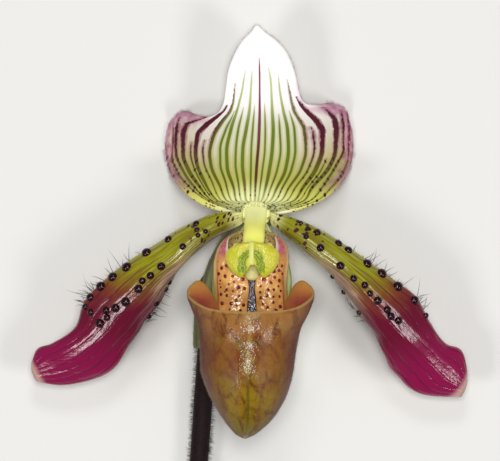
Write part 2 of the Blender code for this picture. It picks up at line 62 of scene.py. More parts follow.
def smooth(at, keys, values, steady=False):
    """Cubic curve through values at keys. The slope at a key is the weighted mean of the slopes on its two sides;
    a steady curve takes their harmonic mean, or 0 at a turn, and never swings past its points."""
    keys, values, at = (np.asarray(a, float) for a in (keys, values, at))
    slopes = np.gradient(values, keys, axis=0)
    if steady:
        rate = np.diff(values) / np.diff(keys)
        same = rate[:-1] * rate[1:] > 0
        both = np.where(same, rate[:-1] + rate[1:], 1)
        slopes[1:-1] = np.where(same, 2 * rate[:-1] * rate[1:] / both, 0)
    i = np.clip(np.searchsorted(keys, at, side="right") - 1, 0, len(keys) - 2)
    step = keys[i + 1] - keys[i]
    t = (at - keys[i]) / step
    if values.ndim > 1:
        step, t = step[..., None], t[..., None]
    return (
        values[i] * (1 + 2 * t) * (1 - t) ** 2
        + values[i + 1] * t**2 * (3 - 2 * t)
        + step * slopes[i] * t * (1 - t) ** 2
        - step * slopes[i + 1] * t**2 * (1 - t)
    )


def ramp(x, low, high):
    """3 t squared minus 2 t cubed, where t runs from 0 at low to 1 at high. Works on numbers and on paint."""
    if isinstance(x, Value):
        return x.ramp(low, high)
    t = np.clip((np.asarray(x, float) - low) / (high - low), 0, 1)
    return t * t * (3 - 2 * t)


def unit(vectors):
    return vectors / np.maximum(np.linalg.norm(vectors, axis=-1, keepdims=True), 1e-9)


def steps(keys):
    return np.linspace(0, 1, len(keys))


# Meshes

def grid_quads(rows, columns, closed=False, start=0):
    """Corner numbers of the quads of a grid; closed joins the last column to the first."""
    number = start + np.arange(rows * columns).reshape(rows, columns)
    if closed:
        number = np.column_stack([number, number[:, 0]])
    quads = np.stack([number[:-1, :-1], number[:-1, 1:], number[1:, 1:], number[1:, :-1]], axis=-1)
    return quads.reshape(-1, 4)


def closed_rings(rows, columns):
    """Quads between rings of points, and a fan of triangles from each end ring to a pole; the two poles come after
    the rings. They face outward where the rings run counter-clockwise about the way from first to last."""
    count = rows * columns
    ring = np.arange(columns)
    following, last = (ring + 1) % columns, count - columns
    fans = np.concatenate([np.stack([following, ring, np.full(columns, count)], axis=-1),
                           np.stack([ring + last, following + last, np.full(columns, count + 1)], axis=-1)])
    return grid_quads(rows, columns, closed=True), fans


def two_skins(rows, columns):
    """Faces of a cup: an outer skin and an inner skin of rings, joined at their last rings, each with a fan from
    its first ring to a pole. The points are the outer skin, the inner skin and the two poles."""
    count = rows * columns
    ring = np.arange(columns)
    following, last = (ring + 1) % columns, count - columns
    quads = np.concatenate([
        grid_quads(rows, columns, closed=True),
        grid_quads(rows, columns, closed=True, start=count)[:, ::-1],
        np.stack([ring + last, following + last, following + last + count, ring + last + count], axis=-1)])
    fans = np.concatenate([
        np.stack([following, ring, np.full(columns, 2 * count)], axis=-1),
        np.stack([ring + count, following + count, np.full(columns, 2 * count + 1)], axis=-1)])
    return quads, fans


def add_mesh(name, points, quads, triangles=(), values=None):
    """An object from points in millimetres about the base point; values are numbers kept at each point."""
    mesh = bpy.data.meshes.new(name)
    points = np.asarray(points, float).reshape(-1, 3)
    quads, triangles = np.reshape(quads, (-1, 4)), np.reshape(triangles, (-1, 3))
    mesh.vertices.add(len(points))
    mesh.vertices.foreach_set("co", ((points + BASE_POINT) * MM).ravel())
    corners = np.concatenate([quads.ravel(), triangles.ravel()])
    sizes = np.concatenate([np.full(len(quads), 4), np.full(len(triangles), 3)])
    mesh.loops.add(len(corners))
    mesh.loops.foreach_set("vertex_index", corners.astype(np.int32))
    mesh.polygons.add(len(sizes))
    mesh.polygons.foreach_set("loop_start", (np.cumsum(sizes) - sizes).astype(np.int32))
    mesh.update(calc_edges=True)
    mesh.validate()
    for key, numbers in (values or {}).items():
        layer = mesh.attributes.new(key, "FLOAT", "POINT")
        layer.data.foreach_set("value", np.asarray(numbers, np.float32).ravel())
    mesh.shade_smooth()
    made = bpy.data.objects.new(name, mesh)
    bpy.context.scene.collection.objects.link(made)
    return made


def grid_normals(grid):
    """Across the grid's columns cross along its rows, at every point."""
    across = np.gradient(grid, axis=1)
    along = np.gradient(grid, axis=0)
    return unit(np.cross(across, along))


TAPER_LINES = 3
ALL_EDGES = ("first_row", "last_row", "first_column", "last_column")


def edge_taper(rows, columns, share, edges=ALL_EDGES):
    """1 inside, falling to share on the named edges over the last few lines of the grid."""
    r, c = np.indices((rows, columns))
    counts = {"first_row": r, "last_row": rows - 1 - r, "first_column": c, "last_column": columns - 1 - c}
    nearest = np.min([counts[name] for name in edges], axis=0)
    return share + (1 - share) * np.sqrt(np.clip(nearest / TAPER_LINES, 0, 1))


def sheet(name, grid, thickness, values=None, edge=0.35):
    """A closed blade round a grid: front and back surfaces half the thickness each side, joined by a rim."""
    rows, columns = grid.shape[:2]
    half = (thickness / 2 * edge_taper(rows, columns, edge))[..., None]
    normal = grid_normals(grid)
    front, back = grid + normal * half, grid - normal * half
    count = rows * columns
    number = np.arange(count).reshape(rows, columns)
    loop = np.concatenate([number[0, :-1], number[:-1, -1], number[-1, :0:-1], number[:0:-1, 0]])
    rim = np.stack([loop, loop + count, np.roll(loop, -1) + count, np.roll(loop, -1)], axis=-1)
    quads = np.concatenate([grid_quads(rows, columns), grid_quads(rows, columns, start=count)[:, ::-1], rim])
    kept = {key: np.stack([array, array]) for key, array in (values or {}).items()}
    kept["back"] = np.stack([np.zeros((rows, columns)), np.ones((rows, columns))])
    return add_mesh(name, np.stack([front, back]), quads, values=kept)


def around(directions, count):
    """A circle of count unit vectors at right angles to each direction."""
    helper = np.where(np.abs(directions[:, :1]) < 0.7, [[1.0, 0, 0]], [[0, 1.0, 0]])
    side = unit(np.cross(directions, helper))
    up = np.cross(directions, side)
    angle = np.linspace(0, 2 * np.pi, count, endpoint=False)[None, :, None]
    return side[:, None] * np.cos(angle) + up[:, None] * np.sin(angle)


def rings_along(path, radii):
    """Rings round a path that never runs along X, with radii as one row of numbers for each path point."""
    along = unit(np.gradient(path, axis=0))
    side = unit(np.array([1.0, 0, 0]) - along * along[:, :1])
    up = np.cross(side, along)
    angle = np.linspace(0, 2 * np.pi, radii.shape[1], endpoint=False)[None, :, None]
    return path[:, None] + (side[:, None] * np.cos(angle) + up[:, None] * np.sin(angle)) * radii[..., None]


def tube(name, path, radii, values=None, round_ends=0.0):
    """A closed tube; the last rings shrink as a quarter circle over round_ends millimetres at both ends."""
    length = np.concatenate([[0], np.cumsum(np.linalg.norm(np.diff(path, axis=0), axis=1))])
    if round_ends:
        near = np.minimum(length, length[-1] - length)
        radii = radii * np.sqrt(np.clip(1 - (1 - np.clip(near / round_ends, 0, 1)) ** 2, 0.02, 1))[:, None]
    rings = rings_along(path, radii)
    quads, fans = closed_rings(*rings.shape[:2])
    kept = {key: np.concatenate([np.ravel(array), [array[0].mean(), array[-1].mean()]])
            for key, array in (values or {}).items()}
    points = np.concatenate([rings.reshape(-1, 3), path[:1], path[-1:]])
    return add_mesh(name, points, quads[:, ::-1], fans[:, ::-1], kept)


def oval_tube(name, path, half_width, half_depth, columns, round_ends):
    """A tube of elliptical section, 60 rings long, along a smooth curve through the path's points."""
    s = np.linspace(0, 1, 60)
    angle = np.linspace(0, 2 * np.pi, columns, endpoint=False)
    wide, deep = (smooth(s, steps(half), half)[:, None] for half in (half_width, half_depth))
    radii = 1 / np.sqrt((np.cos(angle) / wide) ** 2 + (np.sin(angle) / deep) ** 2)
    return tube(name, smooth(s, steps(path), path), radii, round_ends=round_ends)


def hairs(name, roots, directions, lengths, thickness, droop=(0, 0, 0), curl=0.25):
    """Tapered three-sided hairs. A hair's middle line is root + direction * t + droop * t squared, plus a
    random bend that grows with t squared."""
    random = np.random.default_rng(SEED + len(roots))
    directions = unit(directions)
    lengths = lengths[:, None]
    t = np.array([0, 0.35, 0.7, 1.0])
    bend = random.normal(0, 1, roots.shape) * curl * lengths + np.asarray(droop) * lengths
    line = (roots[:, None] + directions[:, None] * lengths[:, None] * t[None, :, None]
            + bend[:, None] * (t**2)[None, :, None])
    width = thickness / 2 * np.array([1, 0.8, 0.5])
    points = line[:, :3, None] + around(directions, 3)[:, None] * width[None, :, None, None]
    points = np.concatenate([points.reshape(len(roots), 9, 3), line[:, 3:]], axis=1)
    start = (np.arange(len(roots)) * 10)[:, None, None]
    corners = [(c, (c + 1) % 3) for c in range(3)]
    quads = [[c + ring, n + ring, n + 3 + ring, c + 3 + ring] for c, n in corners for ring in (0, 3)]
    ends = [[6 + c, 6 + n, 9] for c, n in corners] + [[2, 1, 0]]
    return add_mesh(name, points, np.array(quads)[None] + start, np.array(ends)[None] + start)


def ellipsoid(name, centre, radii, rows=26, columns=48):
    """A closed ellipsoid, with rings from its lowest point to its highest."""
    a = np.linspace(-np.pi / 2, np.pi / 2, rows)[1:-1, None]
    turn = np.linspace(0, 2 * np.pi, columns, endpoint=False)[None, :]
    ball = np.stack([np.cos(a) * np.cos(turn), np.cos(a) * np.sin(turn), np.sin(a) + 0 * turn], axis=-1)
    points = np.concatenate([ball.reshape(-1, 3), [(0, 0, -1), (0, 0, 1)]]) * radii + centre
    return add_mesh(name, points, *closed_rings(rows - 2, columns))


def domes(name, centres, normals, radii, height=0.8, rows=6, columns=14):
    """Half ellipsoids that stand on a surface: radius * cos(a) out and height * radius * sin(a) up, with the foot
    spread a little and a flat closed underside."""
    a = np.linspace(-0.25, np.pi / 2 - 0.12, rows)[None, :, None, None]
    r = radii[:, None, None, None]
    points = (centres[:, None, None] + around(normals, columns)[:, None] * r * np.cos(a)
              + normals[:, None, None] * r * height * np.sin(a))
    tall = normals * radii[:, None] * height
    poles = np.stack([centres + tall * np.sin(a.flat[0]), centres + tall], axis=1)
    points = np.concatenate([points.reshape(len(centres), -1, 3), poles], axis=1)
    start = (np.arange(len(centres)) * (rows * columns + 2))[:, None, None]
    quads, fans = closed_rings(rows, columns)
    return add_mesh(name, points, quads[None] + start, fans[None] + start)


# Shading: colours are given as they look on a screen and turned to linear light

def screen(red, green, blue):
    linear = [(c / 255 / 12.92) if c <= 10 else ((c / 255 + 0.055) / 1.055) ** 2.4 for c in (red, green, blue)]
    return (*linear, 1.0)


def node_math(operation, swap=False):
    """A method that adds one math node; swap puts the other number first."""
    def method(self, *other):
        return self.paint.math(operation, *((*other, self) if swap else (self, *other)))
    return method


class Value:
    """A number or colour at each point of a surface, with arithmetic that adds nodes to its paint."""
    __add__, __sub__, __mul__, __pow__, __abs__ = map(node_math, ("ADD", "SUBTRACT", "MULTIPLY", "POWER", "ABSOLUTE"))
    __rsub__ = node_math("SUBTRACT", swap=True)
    sqrt, sine, arctan2, maximum = map(node_math, ("SQRT", "SINE", "ARCTAN2", "MAXIMUM"))
    round, floor, fract = map(node_math, ("ROUND", "FLOOR", "FRACT"))

    def __init__(self, paint, socket):
        self.paint, self.socket = paint, socket

    def wrap(self):
        """The distance from the nearest whole number, from -0.5 to 0.5."""
        return self.paint.math("WRAP", self, 0.5, -0.5)

    def ramp(self, low, high):
        """A smooth step from 0 at low to 1 at high, whichever of the two is larger."""
        node = self.paint.add("MapRange", Value=self)
        node.interpolation_type = "SMOOTHSTEP"
        rising = low <= high
        node.inputs["From Min"].default_value, node.inputs["From Max"].default_value = sorted((low, high))
        node.inputs["To Min"].default_value, node.inputs["To Max"].default_value = float(not rising), float(rising)
        return Value(self.paint, node.outputs[0])


def blend(share, first, second):
    """The first colour where share is 0 and the second where it is 1."""
    paint = share.paint
    node = paint.add("Mix", Factor=share)
    node.data_type = "RGBA"
    sockets = [socket for socket in node.inputs if socket.type == "RGBA"]
    paint.put(sockets[0], first)
    paint.put(sockets[1], second)
    return Value(paint, next(socket for socket in node.outputs if socket.type == "RGBA"))


def layers(colour, *coats):
    """A colour under coats of paint; each coat is its share at each point and its own colour."""
    for share, coat in coats:
        colour = blend(share, colour, coat)
    return colour


class Paint:
    """A node material over x, y and z, the millimetres from the base point."""

    def __init__(self, name):
        self.material = bpy.data.materials.new(name)
        self.material.use_nodes = True
        self.tree = self.material.node_tree
        self.shader = self.tree.nodes["Principled BSDF"]
        place = self.add("VectorMath")
        place.operation = "MULTIPLY_ADD"
        self.tree.links.new(self.add("TexCoord").outputs["Object"], place.inputs[0])
        place.inputs[1].default_value = (1 / MM, 1 / MM, 1 / MM)
        place.inputs[2].default_value = tuple(-BASE_POINT)
        self.place = Value(self, place.outputs[0])
        self.x, self.y, self.z = (Value(self, output) for output in self.add("SeparateXYZ", self.place).outputs)

    def add(self, kind, *values, **named):
        """A shader node, with values for its first inputs and for those named."""
        node = self.tree.nodes.new("ShaderNode" + kind)
        for socket, value in zip(node.inputs, values):
            self.put(socket, value)
        for key, value in named.items():
            self.put(node.inputs[key], value)
        return node

    def put(self, socket, value):
        """Links a value, or sets a number or a colour; three numbers are a colour as it looks on a screen."""
        if isinstance(value, Value):
            self.tree.links.new(value.socket, socket)
        elif isinstance(value, tuple) and len(value) == 3:
            socket.default_value = screen(*value)
        else:
            socket.default_value = value

    def math(self, operation, *values):
        node = self.add("Math", *values)
        node.operation = operation
        return Value(self, node.outputs[0])

    def kept(self, name):
        """A number stored at the mesh's points."""
        node = self.add("Attribute")
        node.attribute_name = name
        return Value(self, node.outputs["Fac"])

    def vector(self, x, y, z=0.0):
        return Value(self, self.add("CombineXYZ", x, y, z).outputs[0])

    def noise(self, scale, where=None, detail=3.0, stretch=0.0):
        """About 0.5, between 0 and 1; scale is in bumps for each millimetre."""
        node = self.add("TexNoise", Vector=where or self.place, Scale=scale, Detail=detail, Distortion=stretch)
        return Value(self, node.outputs["Fac"])

    def cells(self, scale, where=None, feature="F1", randomness=1.0):
        """Distance from the nearest cell centre, or from the nearest border between cells."""
        node = self.add("TexVoronoi")
        node.feature = feature
        for key, value in (("Vector", where or self.place), ("Scale", scale), ("Randomness", randomness)):
            self.put(node.inputs[key], value)
        return Value(self, node.outputs["Distance"])

    def lines(self, number, low, high):
        """Lines at the whole numbers, from 0 at a distance of low to 1 at high."""
        return abs(number.wrap()).ramp(low, high)

    def bump(self, height, strength=0.5, reach=0.1):
        """Relief of reach millimetres for a height of 1."""
        node = self.add("Bump", Strength=strength, Distance=reach * MM, Height=height)
        for socket in ("Normal", "Coat Normal"):
            self.tree.links.new(node.outputs[0], self.shader.inputs[socket])

    def done(self, colour, roughness=0.45, coat=0.0, flesh=0.0, sheen=0.0, coat_roughness=0.1, specular=0.3):
        settings = {"Base Color": colour, "Roughness": roughness, "Coat Weight": coat,
                    "Coat Roughness": coat_roughness, "Specular IOR Level": specular, "Subsurface Weight": flesh,
                    "Subsurface Scale": 0.6 * MM, "Sheen Weight": sheen}
        for key, value in settings.items():
            self.put(self.shader.inputs[key], value)
        self.shader.inputs["Subsurface Radius"].default_value = (1.0, 0.6, 0.3)
        return self.material


def dress(piece, material, node=None):
    """Gives a piece its material and its place in the frame."""
    piece.data.materials.clear()
    piece.data.materials.append(material)
    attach(piece, "root")
    if node:
        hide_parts(node)


# The dorsal sepal: q runs from -1 at the left edge to 1 at the right along the veins, v from the base to the top

SEPAL_BASE_RADIUS = 2.4
SEPAL_BASE_Z = 0.45
SEPAL_LEVEL_Y, SEPAL_LEVEL_V = 14.6, 0.45  # the widest level
SEPAL_HALF_LEFT, SEPAL_HALF_RIGHT = 20.2, 21.7
SEPAL_REFLEX = 14.5
SEPAL_TOP_Q = [-1, -0.95, -0.88, -0.8, -0.7, -0.58, -0.47, -0.39, -0.31, -0.24, -0.18, -0.12, -0.05, 0,
               0.05, 0.12, 0.19, 0.26, 0.33, 0.4, 0.5, 0.68, 0.84, 0.93, 1]
SEPAL_TOP = [(-20.3, 15.5), (-19.6, 19.7), (-17.5, 22.6), (-15.5, 23.1), (-13.0, 22.2),
             (-10.2, 21.9), (-7.9, 23.2), (-6.9, 25.4), (-6.5, 28.9), (-6.0, 32.4),
             (-4.7, 35.7), (-3.2, 38.2), (-1.1, 40.4), (0.2, 41.8),
             (2.2, 40.2), (4.6, 38.4), (6.8, 35.9), (8.4, 32.2), (9.1, 29.4),
             (9.7, 26.5), (10.8, 24.9), (14.0, 24.6), (17.8, 24.7), (20.3, 23.0), (21.7, 17.7)]


def dorsal_grid(rows, columns, thickness):
    """Up to the widest level a vein is a quarter ellipse that leaves a half circle at the base; above it, x moves
    with the square of the height gained to the upper edge. Depth falls with the square of x over the half-width,
    and stops at the table."""
    q = np.linspace(-1, 1, columns)[None, :]
    v = np.linspace(0, 1, rows)[:, None]
    half = np.where(q < 0, SEPAL_HALF_LEFT, SEPAL_HALF_RIGHT)
    turn = np.clip(v / SEPAL_LEVEL_V, 0, 1) * np.pi / 2
    low_x, low_y = SEPAL_BASE_RADIUS * np.sin(q * np.pi / 2), SEPAL_BASE_RADIUS * np.cos(q * np.pi / 2)
    x = low_x + (q * half - low_x) * np.sin(turn)
    y = low_y + (SEPAL_LEVEL_Y - low_y) * (1 - np.cos(turn))
    top = smooth(np.broadcast_to(q, x.shape), SEPAL_TOP_Q, SEPAL_TOP)
    rise = np.clip((v - SEPAL_LEVEL_V) / (1 - SEPAL_LEVEL_V), 0, 1)
    x = x + (top[..., 0] - x) * rise**2
    y = y + (top[..., 1] - y) * rise
    lean = smooth(y, [1.7, 4.8, 8, 14, 20, 30, 38, 42], [SEPAL_BASE_Z, 0.4, -0.7, -2.9, -3.9, -3.4, -1.6, -0.2])
    reflex = SEPAL_REFLEX * ramp(y, 1.5, 13) * np.where(y > 16, 1 - 0.35 * ramp(y, 16, 30), 1)
    z = lean - reflex * (x / np.where(x < 0, SEPAL_HALF_LEFT, SEPAL_HALF_RIGHT)) ** 2
    wave = 0.22 * np.sin(4.2 * q * np.pi + 0.4) * np.abs(q) ** 3 * ramp(v, 0.3, 0.8)
    z = np.maximum(z + wave, thickness / 2 - BASE_POINT[2] + 0.02)
    return np.stack([x, y, z], axis=-1)


# One entry for each vein from left to right: where it ends, its half-width, and points along it
VEINS = [
    (19.1, 0.13, [(-11.1, 3.3), (-14.2, 5.5), (-17.1, 9.1), (-18.4, 12.8), (-18.5, 16.4), (-17.9, 20.8),
        (-17.1, 23), (-7.7, 25.5), (-4.5, 37.5)]),
    (21.3, 0.22, [(-10.6, 3.3), (-13.2, 5.5), (-16, 9.6), (-17.4, 13.4), (-17.6, 16.8), (-17.1, 20.8),
        (-16.2, 22.5), (-7.3, 25.2), (-4, 37.5)]),
    (21.3, 0.34, [(-10, 3.3), (-12.5, 6.2), (-14.7, 9.6), (-15.9, 13.4), (-15.9, 17.6), (-15.1, 20.3),
        (-13.3, 21), (-11.1, 21.6), (-6.8, 25), (-3.6, 37.5)]),
    (15.8, 0.14, [(-9.2, 3.3), (-11.7, 6.4), (-13.7, 10.9), (-14.2, 13.6), (-13.9, 17.6), (-12.4, 20.2),
        (-10, 21.8), (-7.3, 23.7), (-6.4, 25.2), (-3.2, 37.5)]),
    (23.8, 0.33, [(-8.7, 3.3), (-11.5, 7.5), (-12.9, 11.3), (-13.1, 14), (-12.6, 18), (-10.6, 20.1),
        (-8.4, 21.7), (-6.5, 23.7), (-6, 25.4), (-2.8, 37.5)]),
    (16.1, 0.15, [(-7.8, 3.3), (-9.7, 7.3), (-11.3, 11.5), (-11.5, 14.4), (-10.9, 17.1), (-9.1, 20),
        (-6.8, 22.6), (-5.5, 24.8), (-2.4, 37.5)]),
    (28.6, 0.27, [(-6.6, 3.3), (-7.9, 6.2), (-9.7, 10.6), (-10, 13.5), (-9.1, 17.5), (-7.1, 20.8), (-5.4, 23.2),
        (-4.8, 25.9), (-4.6, 28.5), (-1.9, 37.5)]),
    (22.7, 0.19, [(-5.5, 3.3), (-6.7, 7.3), (-7.7, 11.1), (-7.7, 14.4), (-6.5, 18.8), (-4.9, 22.3), (-4, 25.4),
        (-1.5, 37.5)]),
    (31.5, 0.28, [(-4.4, 3.3), (-4.8, 5.5), (-6.2, 10.4), (-6.3, 13.9), (-5.4, 18.8), (-3.9, 23.9), (-3, 27.6),
        (-2.6, 30.3), (-1.1, 37.5)]),
    (23.5, 0.18, [(-3.3, 3.3), (-3.9, 7.3), (-4.4, 11), (-4.3, 14.4), (-3.8, 18.8), (-2.9, 22.8), (-2.2, 26.5),
        (-0.7, 37.5)]),
    (31.5, 0.28, [(-2.2, 3.3), (-2.5, 6.6), (-2.9, 11), (-2.8, 14.4), (-2.1, 18.8), (-1.4, 23.2), (-1.1, 27.6),
        (-0.9, 30.9), (-0.3, 37.5)]),
    (24, 0.16, [(-1.2, 3.3), (-1.1, 9.9), (-1, 14.4), (-0.7, 18.8), (-0.4, 22.8), (-0.1, 27.6), (0.2, 37.5)]),
    (34.5, 0.24, [(-0.2, 3.3), (0.1, 9.9), (0.6, 16.6), (0.8, 23.2), (0.8, 29.8), (0.6, 37.5)]),
    (24.4, 0.15, [(0.5, 3.3), (1.4, 9.9), (1.9, 14.4), (2, 18.8), (1.9, 22.8), (1.8, 27.6), (1, 37.5)]),
    (32.3, 0.29, [(1.3, 3.3), (2, 5.5), (2.9, 9.9), (3.5, 14.4), (3.7, 18.8), (3.5, 23.2), (3.2, 29.8),
        (1.4, 37.5)]),
    (22, 0.17, [(2.2, 3.3), (3.1, 5.5), (4.6, 9.9), (5.3, 14.4), (5.1, 18.8), (4.9, 22.8), (4.3, 27.6),
        (1.8, 37.5)]),
    (30.8, 0.28, [(3.3, 3.3), (4.4, 5.5), (6.4, 9.9), (7, 14.4), (6.8, 18.8), (5.9, 23.2), (5.1, 28.1),
        (4.9, 30.9), (2.3, 37.5)]),
    (22.7, 0.2, [(4.4, 3.3), (5.6, 5.5), (7.7, 9.9), (8.5, 14.4), (8.3, 18.8), (7.3, 22.8), (6.3, 26.5),
        (2.7, 37.5)]),
    (29.7, 0.23, [(5.7, 3.3), (7, 5.5), (9.8, 10), (10.8, 14.4), (10.4, 18.9), (9.3, 21.1), (8.1, 23.2),
        (7.2, 27.6), (6.9, 29.8), (3.1, 37.5)]),
    (19.1, 0.17, [(7, 3.3), (8.4, 5.5), (11.4, 10), (12.7, 14.9), (12.2, 18.9), (10.6, 22), (8.9, 24.6),
        (8, 26.8), (3.5, 37.5)]),
    (25.7, 0.38, [(8.6, 3.3), (10.1, 5.5), (13.1, 10), (14.4, 14.5), (14.5, 18.5), (13.4, 20.7), (11.1, 22.8),
        (9.1, 25.5), (8.4, 27.2), (3.9, 37.5)]),
    (12.1, 0.12, [(9.7, 3.3), (11.2, 5.5), (14.4, 10), (15.9, 14.5), (16.1, 19), (15.4, 21.2), (12.9, 23.5),
        (9.7, 26.1), (4.3, 37.5)]),
    (23.5, 0.36, [(10.8, 3.3), (12.1, 5.5), (16.1, 10.5), (17.4, 14.5), (17.6, 19), (17.2, 21.4), (16, 22.9),
        (14.4, 24.2), (10.2, 26.6), (4.8, 37.5)]),
    (23.1, 0.2, [(12.3, 3.3), (14.3, 5.5), (17.8, 11.2), (19.3, 15), (19.4, 19), (19, 21.7), (18.6, 23.9),
        (10.9, 26.8), (5.2, 37.5)]),
    (22.7, 0.13, [(13.9, 3.3), (16.3, 5.5), (19.1, 9.1), (20.7, 14.1), (20.8, 18.6), (20.1, 22.8), (19.4, 24.3),
        (11.5, 27.3), (5.6, 37.5)]),
]
VEIN_MIDDLE = 12  # place of the midrib in the list
VEIN_LENGTHENING, VEIN_WIDENING = 1.2, 1.22
VEIN_SPACING = 0.3  # the least distance between two veins
OUTER_SPACING = 1.5  # from one number to the next beyond the outermost veins


def vein_number(x, y):
    """Counts veins from the midrib: a whole number on each vein, and linear in x between two veins. A vein starts
    on the base's half circle and is kept outside its inner neighbour."""
    lines = []
    for i in sorted(range(len(VEINS)), key=lambda i: abs(i - VEIN_MIDDLE)):
        turn = (i / VEIN_MIDDLE - 1) * np.pi / 2
        points = [(SEPAL_BASE_RADIUS * np.sin(turn), SEPAL_BASE_RADIUS * np.cos(turn))] + VEINS[i][2]
        keys, values = np.array(points)[:, 1], np.array(points)[:, 0]
        line = smooth(np.clip(y, keys[0], keys[-1]), keys, values, steady=True)
        if i < VEIN_MIDDLE:
            lines.insert(0, np.minimum(line, lines[0] - VEIN_SPACING))
        elif i > VEIN_MIDDLE:
            lines.append(np.maximum(line, lines[-1] + VEIN_SPACING))
        else:
            lines.append(line)
    beyond = np.minimum((x - lines[0]) / OUTER_SPACING, 0) + np.maximum((x - lines[-1]) / OUTER_SPACING, 0)
    number = beyond - VEIN_MIDDLE
    for left, right in zip(lines[:-1], lines[1:]):
        number = number + np.clip((x - left) / (right - left), 0, 1)
    return number


def vein_values(grid):
    """At each point: the vein number, the millimetres from one vein to the next, and the nearest vein's
    half-width, which narrows to nothing at the vein's end."""
    x, y = grid[..., 0], grid[..., 1]
    number = vein_number(x, y)
    step = 0.05
    slope = np.hypot(vein_number(x + step, y) - number, vein_number(x, y + step) - number) / step
    nearest = np.clip(np.rint(number).astype(int) + VEIN_MIDDLE, 0, len(VEINS) - 1)
    end = np.array([vein[0] for vein in VEINS])[nearest] + VEIN_LENGTHENING
    half = np.array([vein[1] for vein in VEINS])[nearest]
    beyond = np.abs(number) > VEIN_MIDDLE + 0.4
    half = VEIN_WIDENING * half * (0.28 + 0.72 * ramp(y, 2, 9)) * (1 - 0.45 * ramp(y, 19, 29))
    half = half * (1 - ramp(y, end - 4, end + 0.3)) - 0.12 * (y > end - 0.5)
    half = half * (1 + 0.4 * ramp(y, 16.5, 20) * (np.abs(number) > 6))
    return {"vein": number, "gap": 1 / np.maximum(slope, 0.2), "half": np.where(beyond, -1, half)}


def dorsal_paint(colours):
    paint = Paint("dorsal_sepal")
    x, y = paint.x, paint.y
    vein, gap, half, rim, along = map(paint.kept, ("vein", "gap", "half", "rim", "along"))
    side = abs(vein)
    away = abs(vein.wrap()) * gap
    outer = ramp(side, 5.4, 6.6)
    lobe = ramp(abs(x), 8.5, 10.5)
    there = ramp(half, 0, 0.05)
    patchy = paint.noise(0.5, detail=4)
    fringe = (paint.noise(1.8, detail=4) - 0.5) * outer * ramp(y, 10, 19) * 1.1
    glow = (x * x * 0.7 + y * y).sqrt()
    line = ramp(away - half + fringe, 0.13, -0.09) * there
    # Painted light: the veins fade towards the base, washed out by a painted glow there
    line = line * (ramp(glow, 2.5, 8) * 0.55 + 0.45)
    halo = ramp(away - half, 0.75, 0) * there

    # Painted shade: the white turns greyer, in patches, from y 27 down to 19 and below, over the sepal's middle
    white = blend(ramp(y, 27, 19) * (patchy * 0.4 + 0.6), colours.dorsal_white, (218, 210, 196))
    # The lower part's green, with a painted glow of near white yellow round the base
    green = layers((186, 174, 66), (ramp(y, 8, 3), colours.dorsal_green), (ramp(glow, 9, 4), (255, 252, 200)))
    level = y - ramp(side, 7.2, 9.5) * 3 + (patchy - 0.5) * 4
    soft = blend(outer * ramp(y, 9, 14), (158, 172, 62), (176, 130, 116))
    rosy = ramp(rim + (patchy - 0.5) * 5, 4.6, 0.8) * ramp(side, 8.6, 10.6)
    streaky = paint.noise(1.4, paint.vector(vein * 1.5, y * 0.35), detail=4)
    rose = blend(ramp(streaky, 0.4, 0.62), (182, 128, 150), (136, 62, 92))
    smear = ramp(away - half + (streaky - 0.5) * 2.4, 0.8, -0.1) * outer * ramp(y, 13.5, 18.5)
    blush = ramp(rim + (patchy - 0.5) * 2, 3, 0.8) * ramp(side, 5.6, 7.4) * ramp(rim, 0.3, 0.9)

    green_line = layers((100, 116, 18), (ramp(y, 12, 6), (96, 92, 18)), (ramp(y, 18, 29), (184, 194, 130)))
    red_line = blend(ramp(y, 16, 9), colours.vein_purple, (104, 98, 10))
    stripe = blend(ramp(y, 12, 24), (84, 40, 26), (116, 34, 66))
    tint = layers(green_line, (outer, red_line), (ramp(side, 0.5, 0.3), stripe))

    # Dots and specks sit on the veins; each vein starts its count at its own place, and a count may have none.
    number = vein.round()
    start = ((number * 12.9).sine() * 43.7).fract()
    dot_count, speck_count = along * 0.45 + start, along * 1.05 + start
    beat = abs(dot_count.wrap()) * 2.2
    dot = ramp((beat * beat + away * away).sqrt() + ramp(glow, 14, 8) * 0.2, 0.5, 0.28)
    luck = (abs(((dot_count + 0.5).floor() * 5.7 + number * 2.3).sine()) * 43.7).fract()
    dot = dot * ramp(luck, 0.4, 0.45) * ramp(y, 15, 12) * ramp(side, 6.5, 7.5)
    beat = abs(speck_count.wrap()) * 0.95
    speck = ramp((beat * beat + away * away * 2).sqrt(), 0.27, 0.15)
    luck = (abs(((speck_count + 0.5).floor() * 7.31 + number * 3.17).sine()) * 43.7).fract()
    speck = speck * ramp(luck, 0.62, 0.67) * ramp(y, 7.2, 5.6) * ramp(y, 0.8, 2)

    shade = layers(white,
                   (ramp(level, 20, 6.5) * 0.9, green),
                   (halo * ramp(y, 25, 17) * 0.6, soft),
                   (rosy * ramp(y, 4, 9) * lobe * 0.85, rose),
                   (smear * there * 0.7, (146, 66, 96)),
                   (blush * lobe * ramp(y, 17, 21) * 0.4, (184, 112, 146)),
                   (line, tint),
                   (dot.maximum(speck), (60, 18, 28)))
    paint.bump(line * 0.6 + halo * 0.4 + paint.noise(5) * 0.25 + patchy * 0.2, 0.6, 0.12)
    return paint.done(shade, paint.noise(1.5) * 0.15 + 0.42, flesh=0.1, specular=0.2)


# The petals: s runs from the base to the tip, t from -1 at the lower edge to 1 at the upper

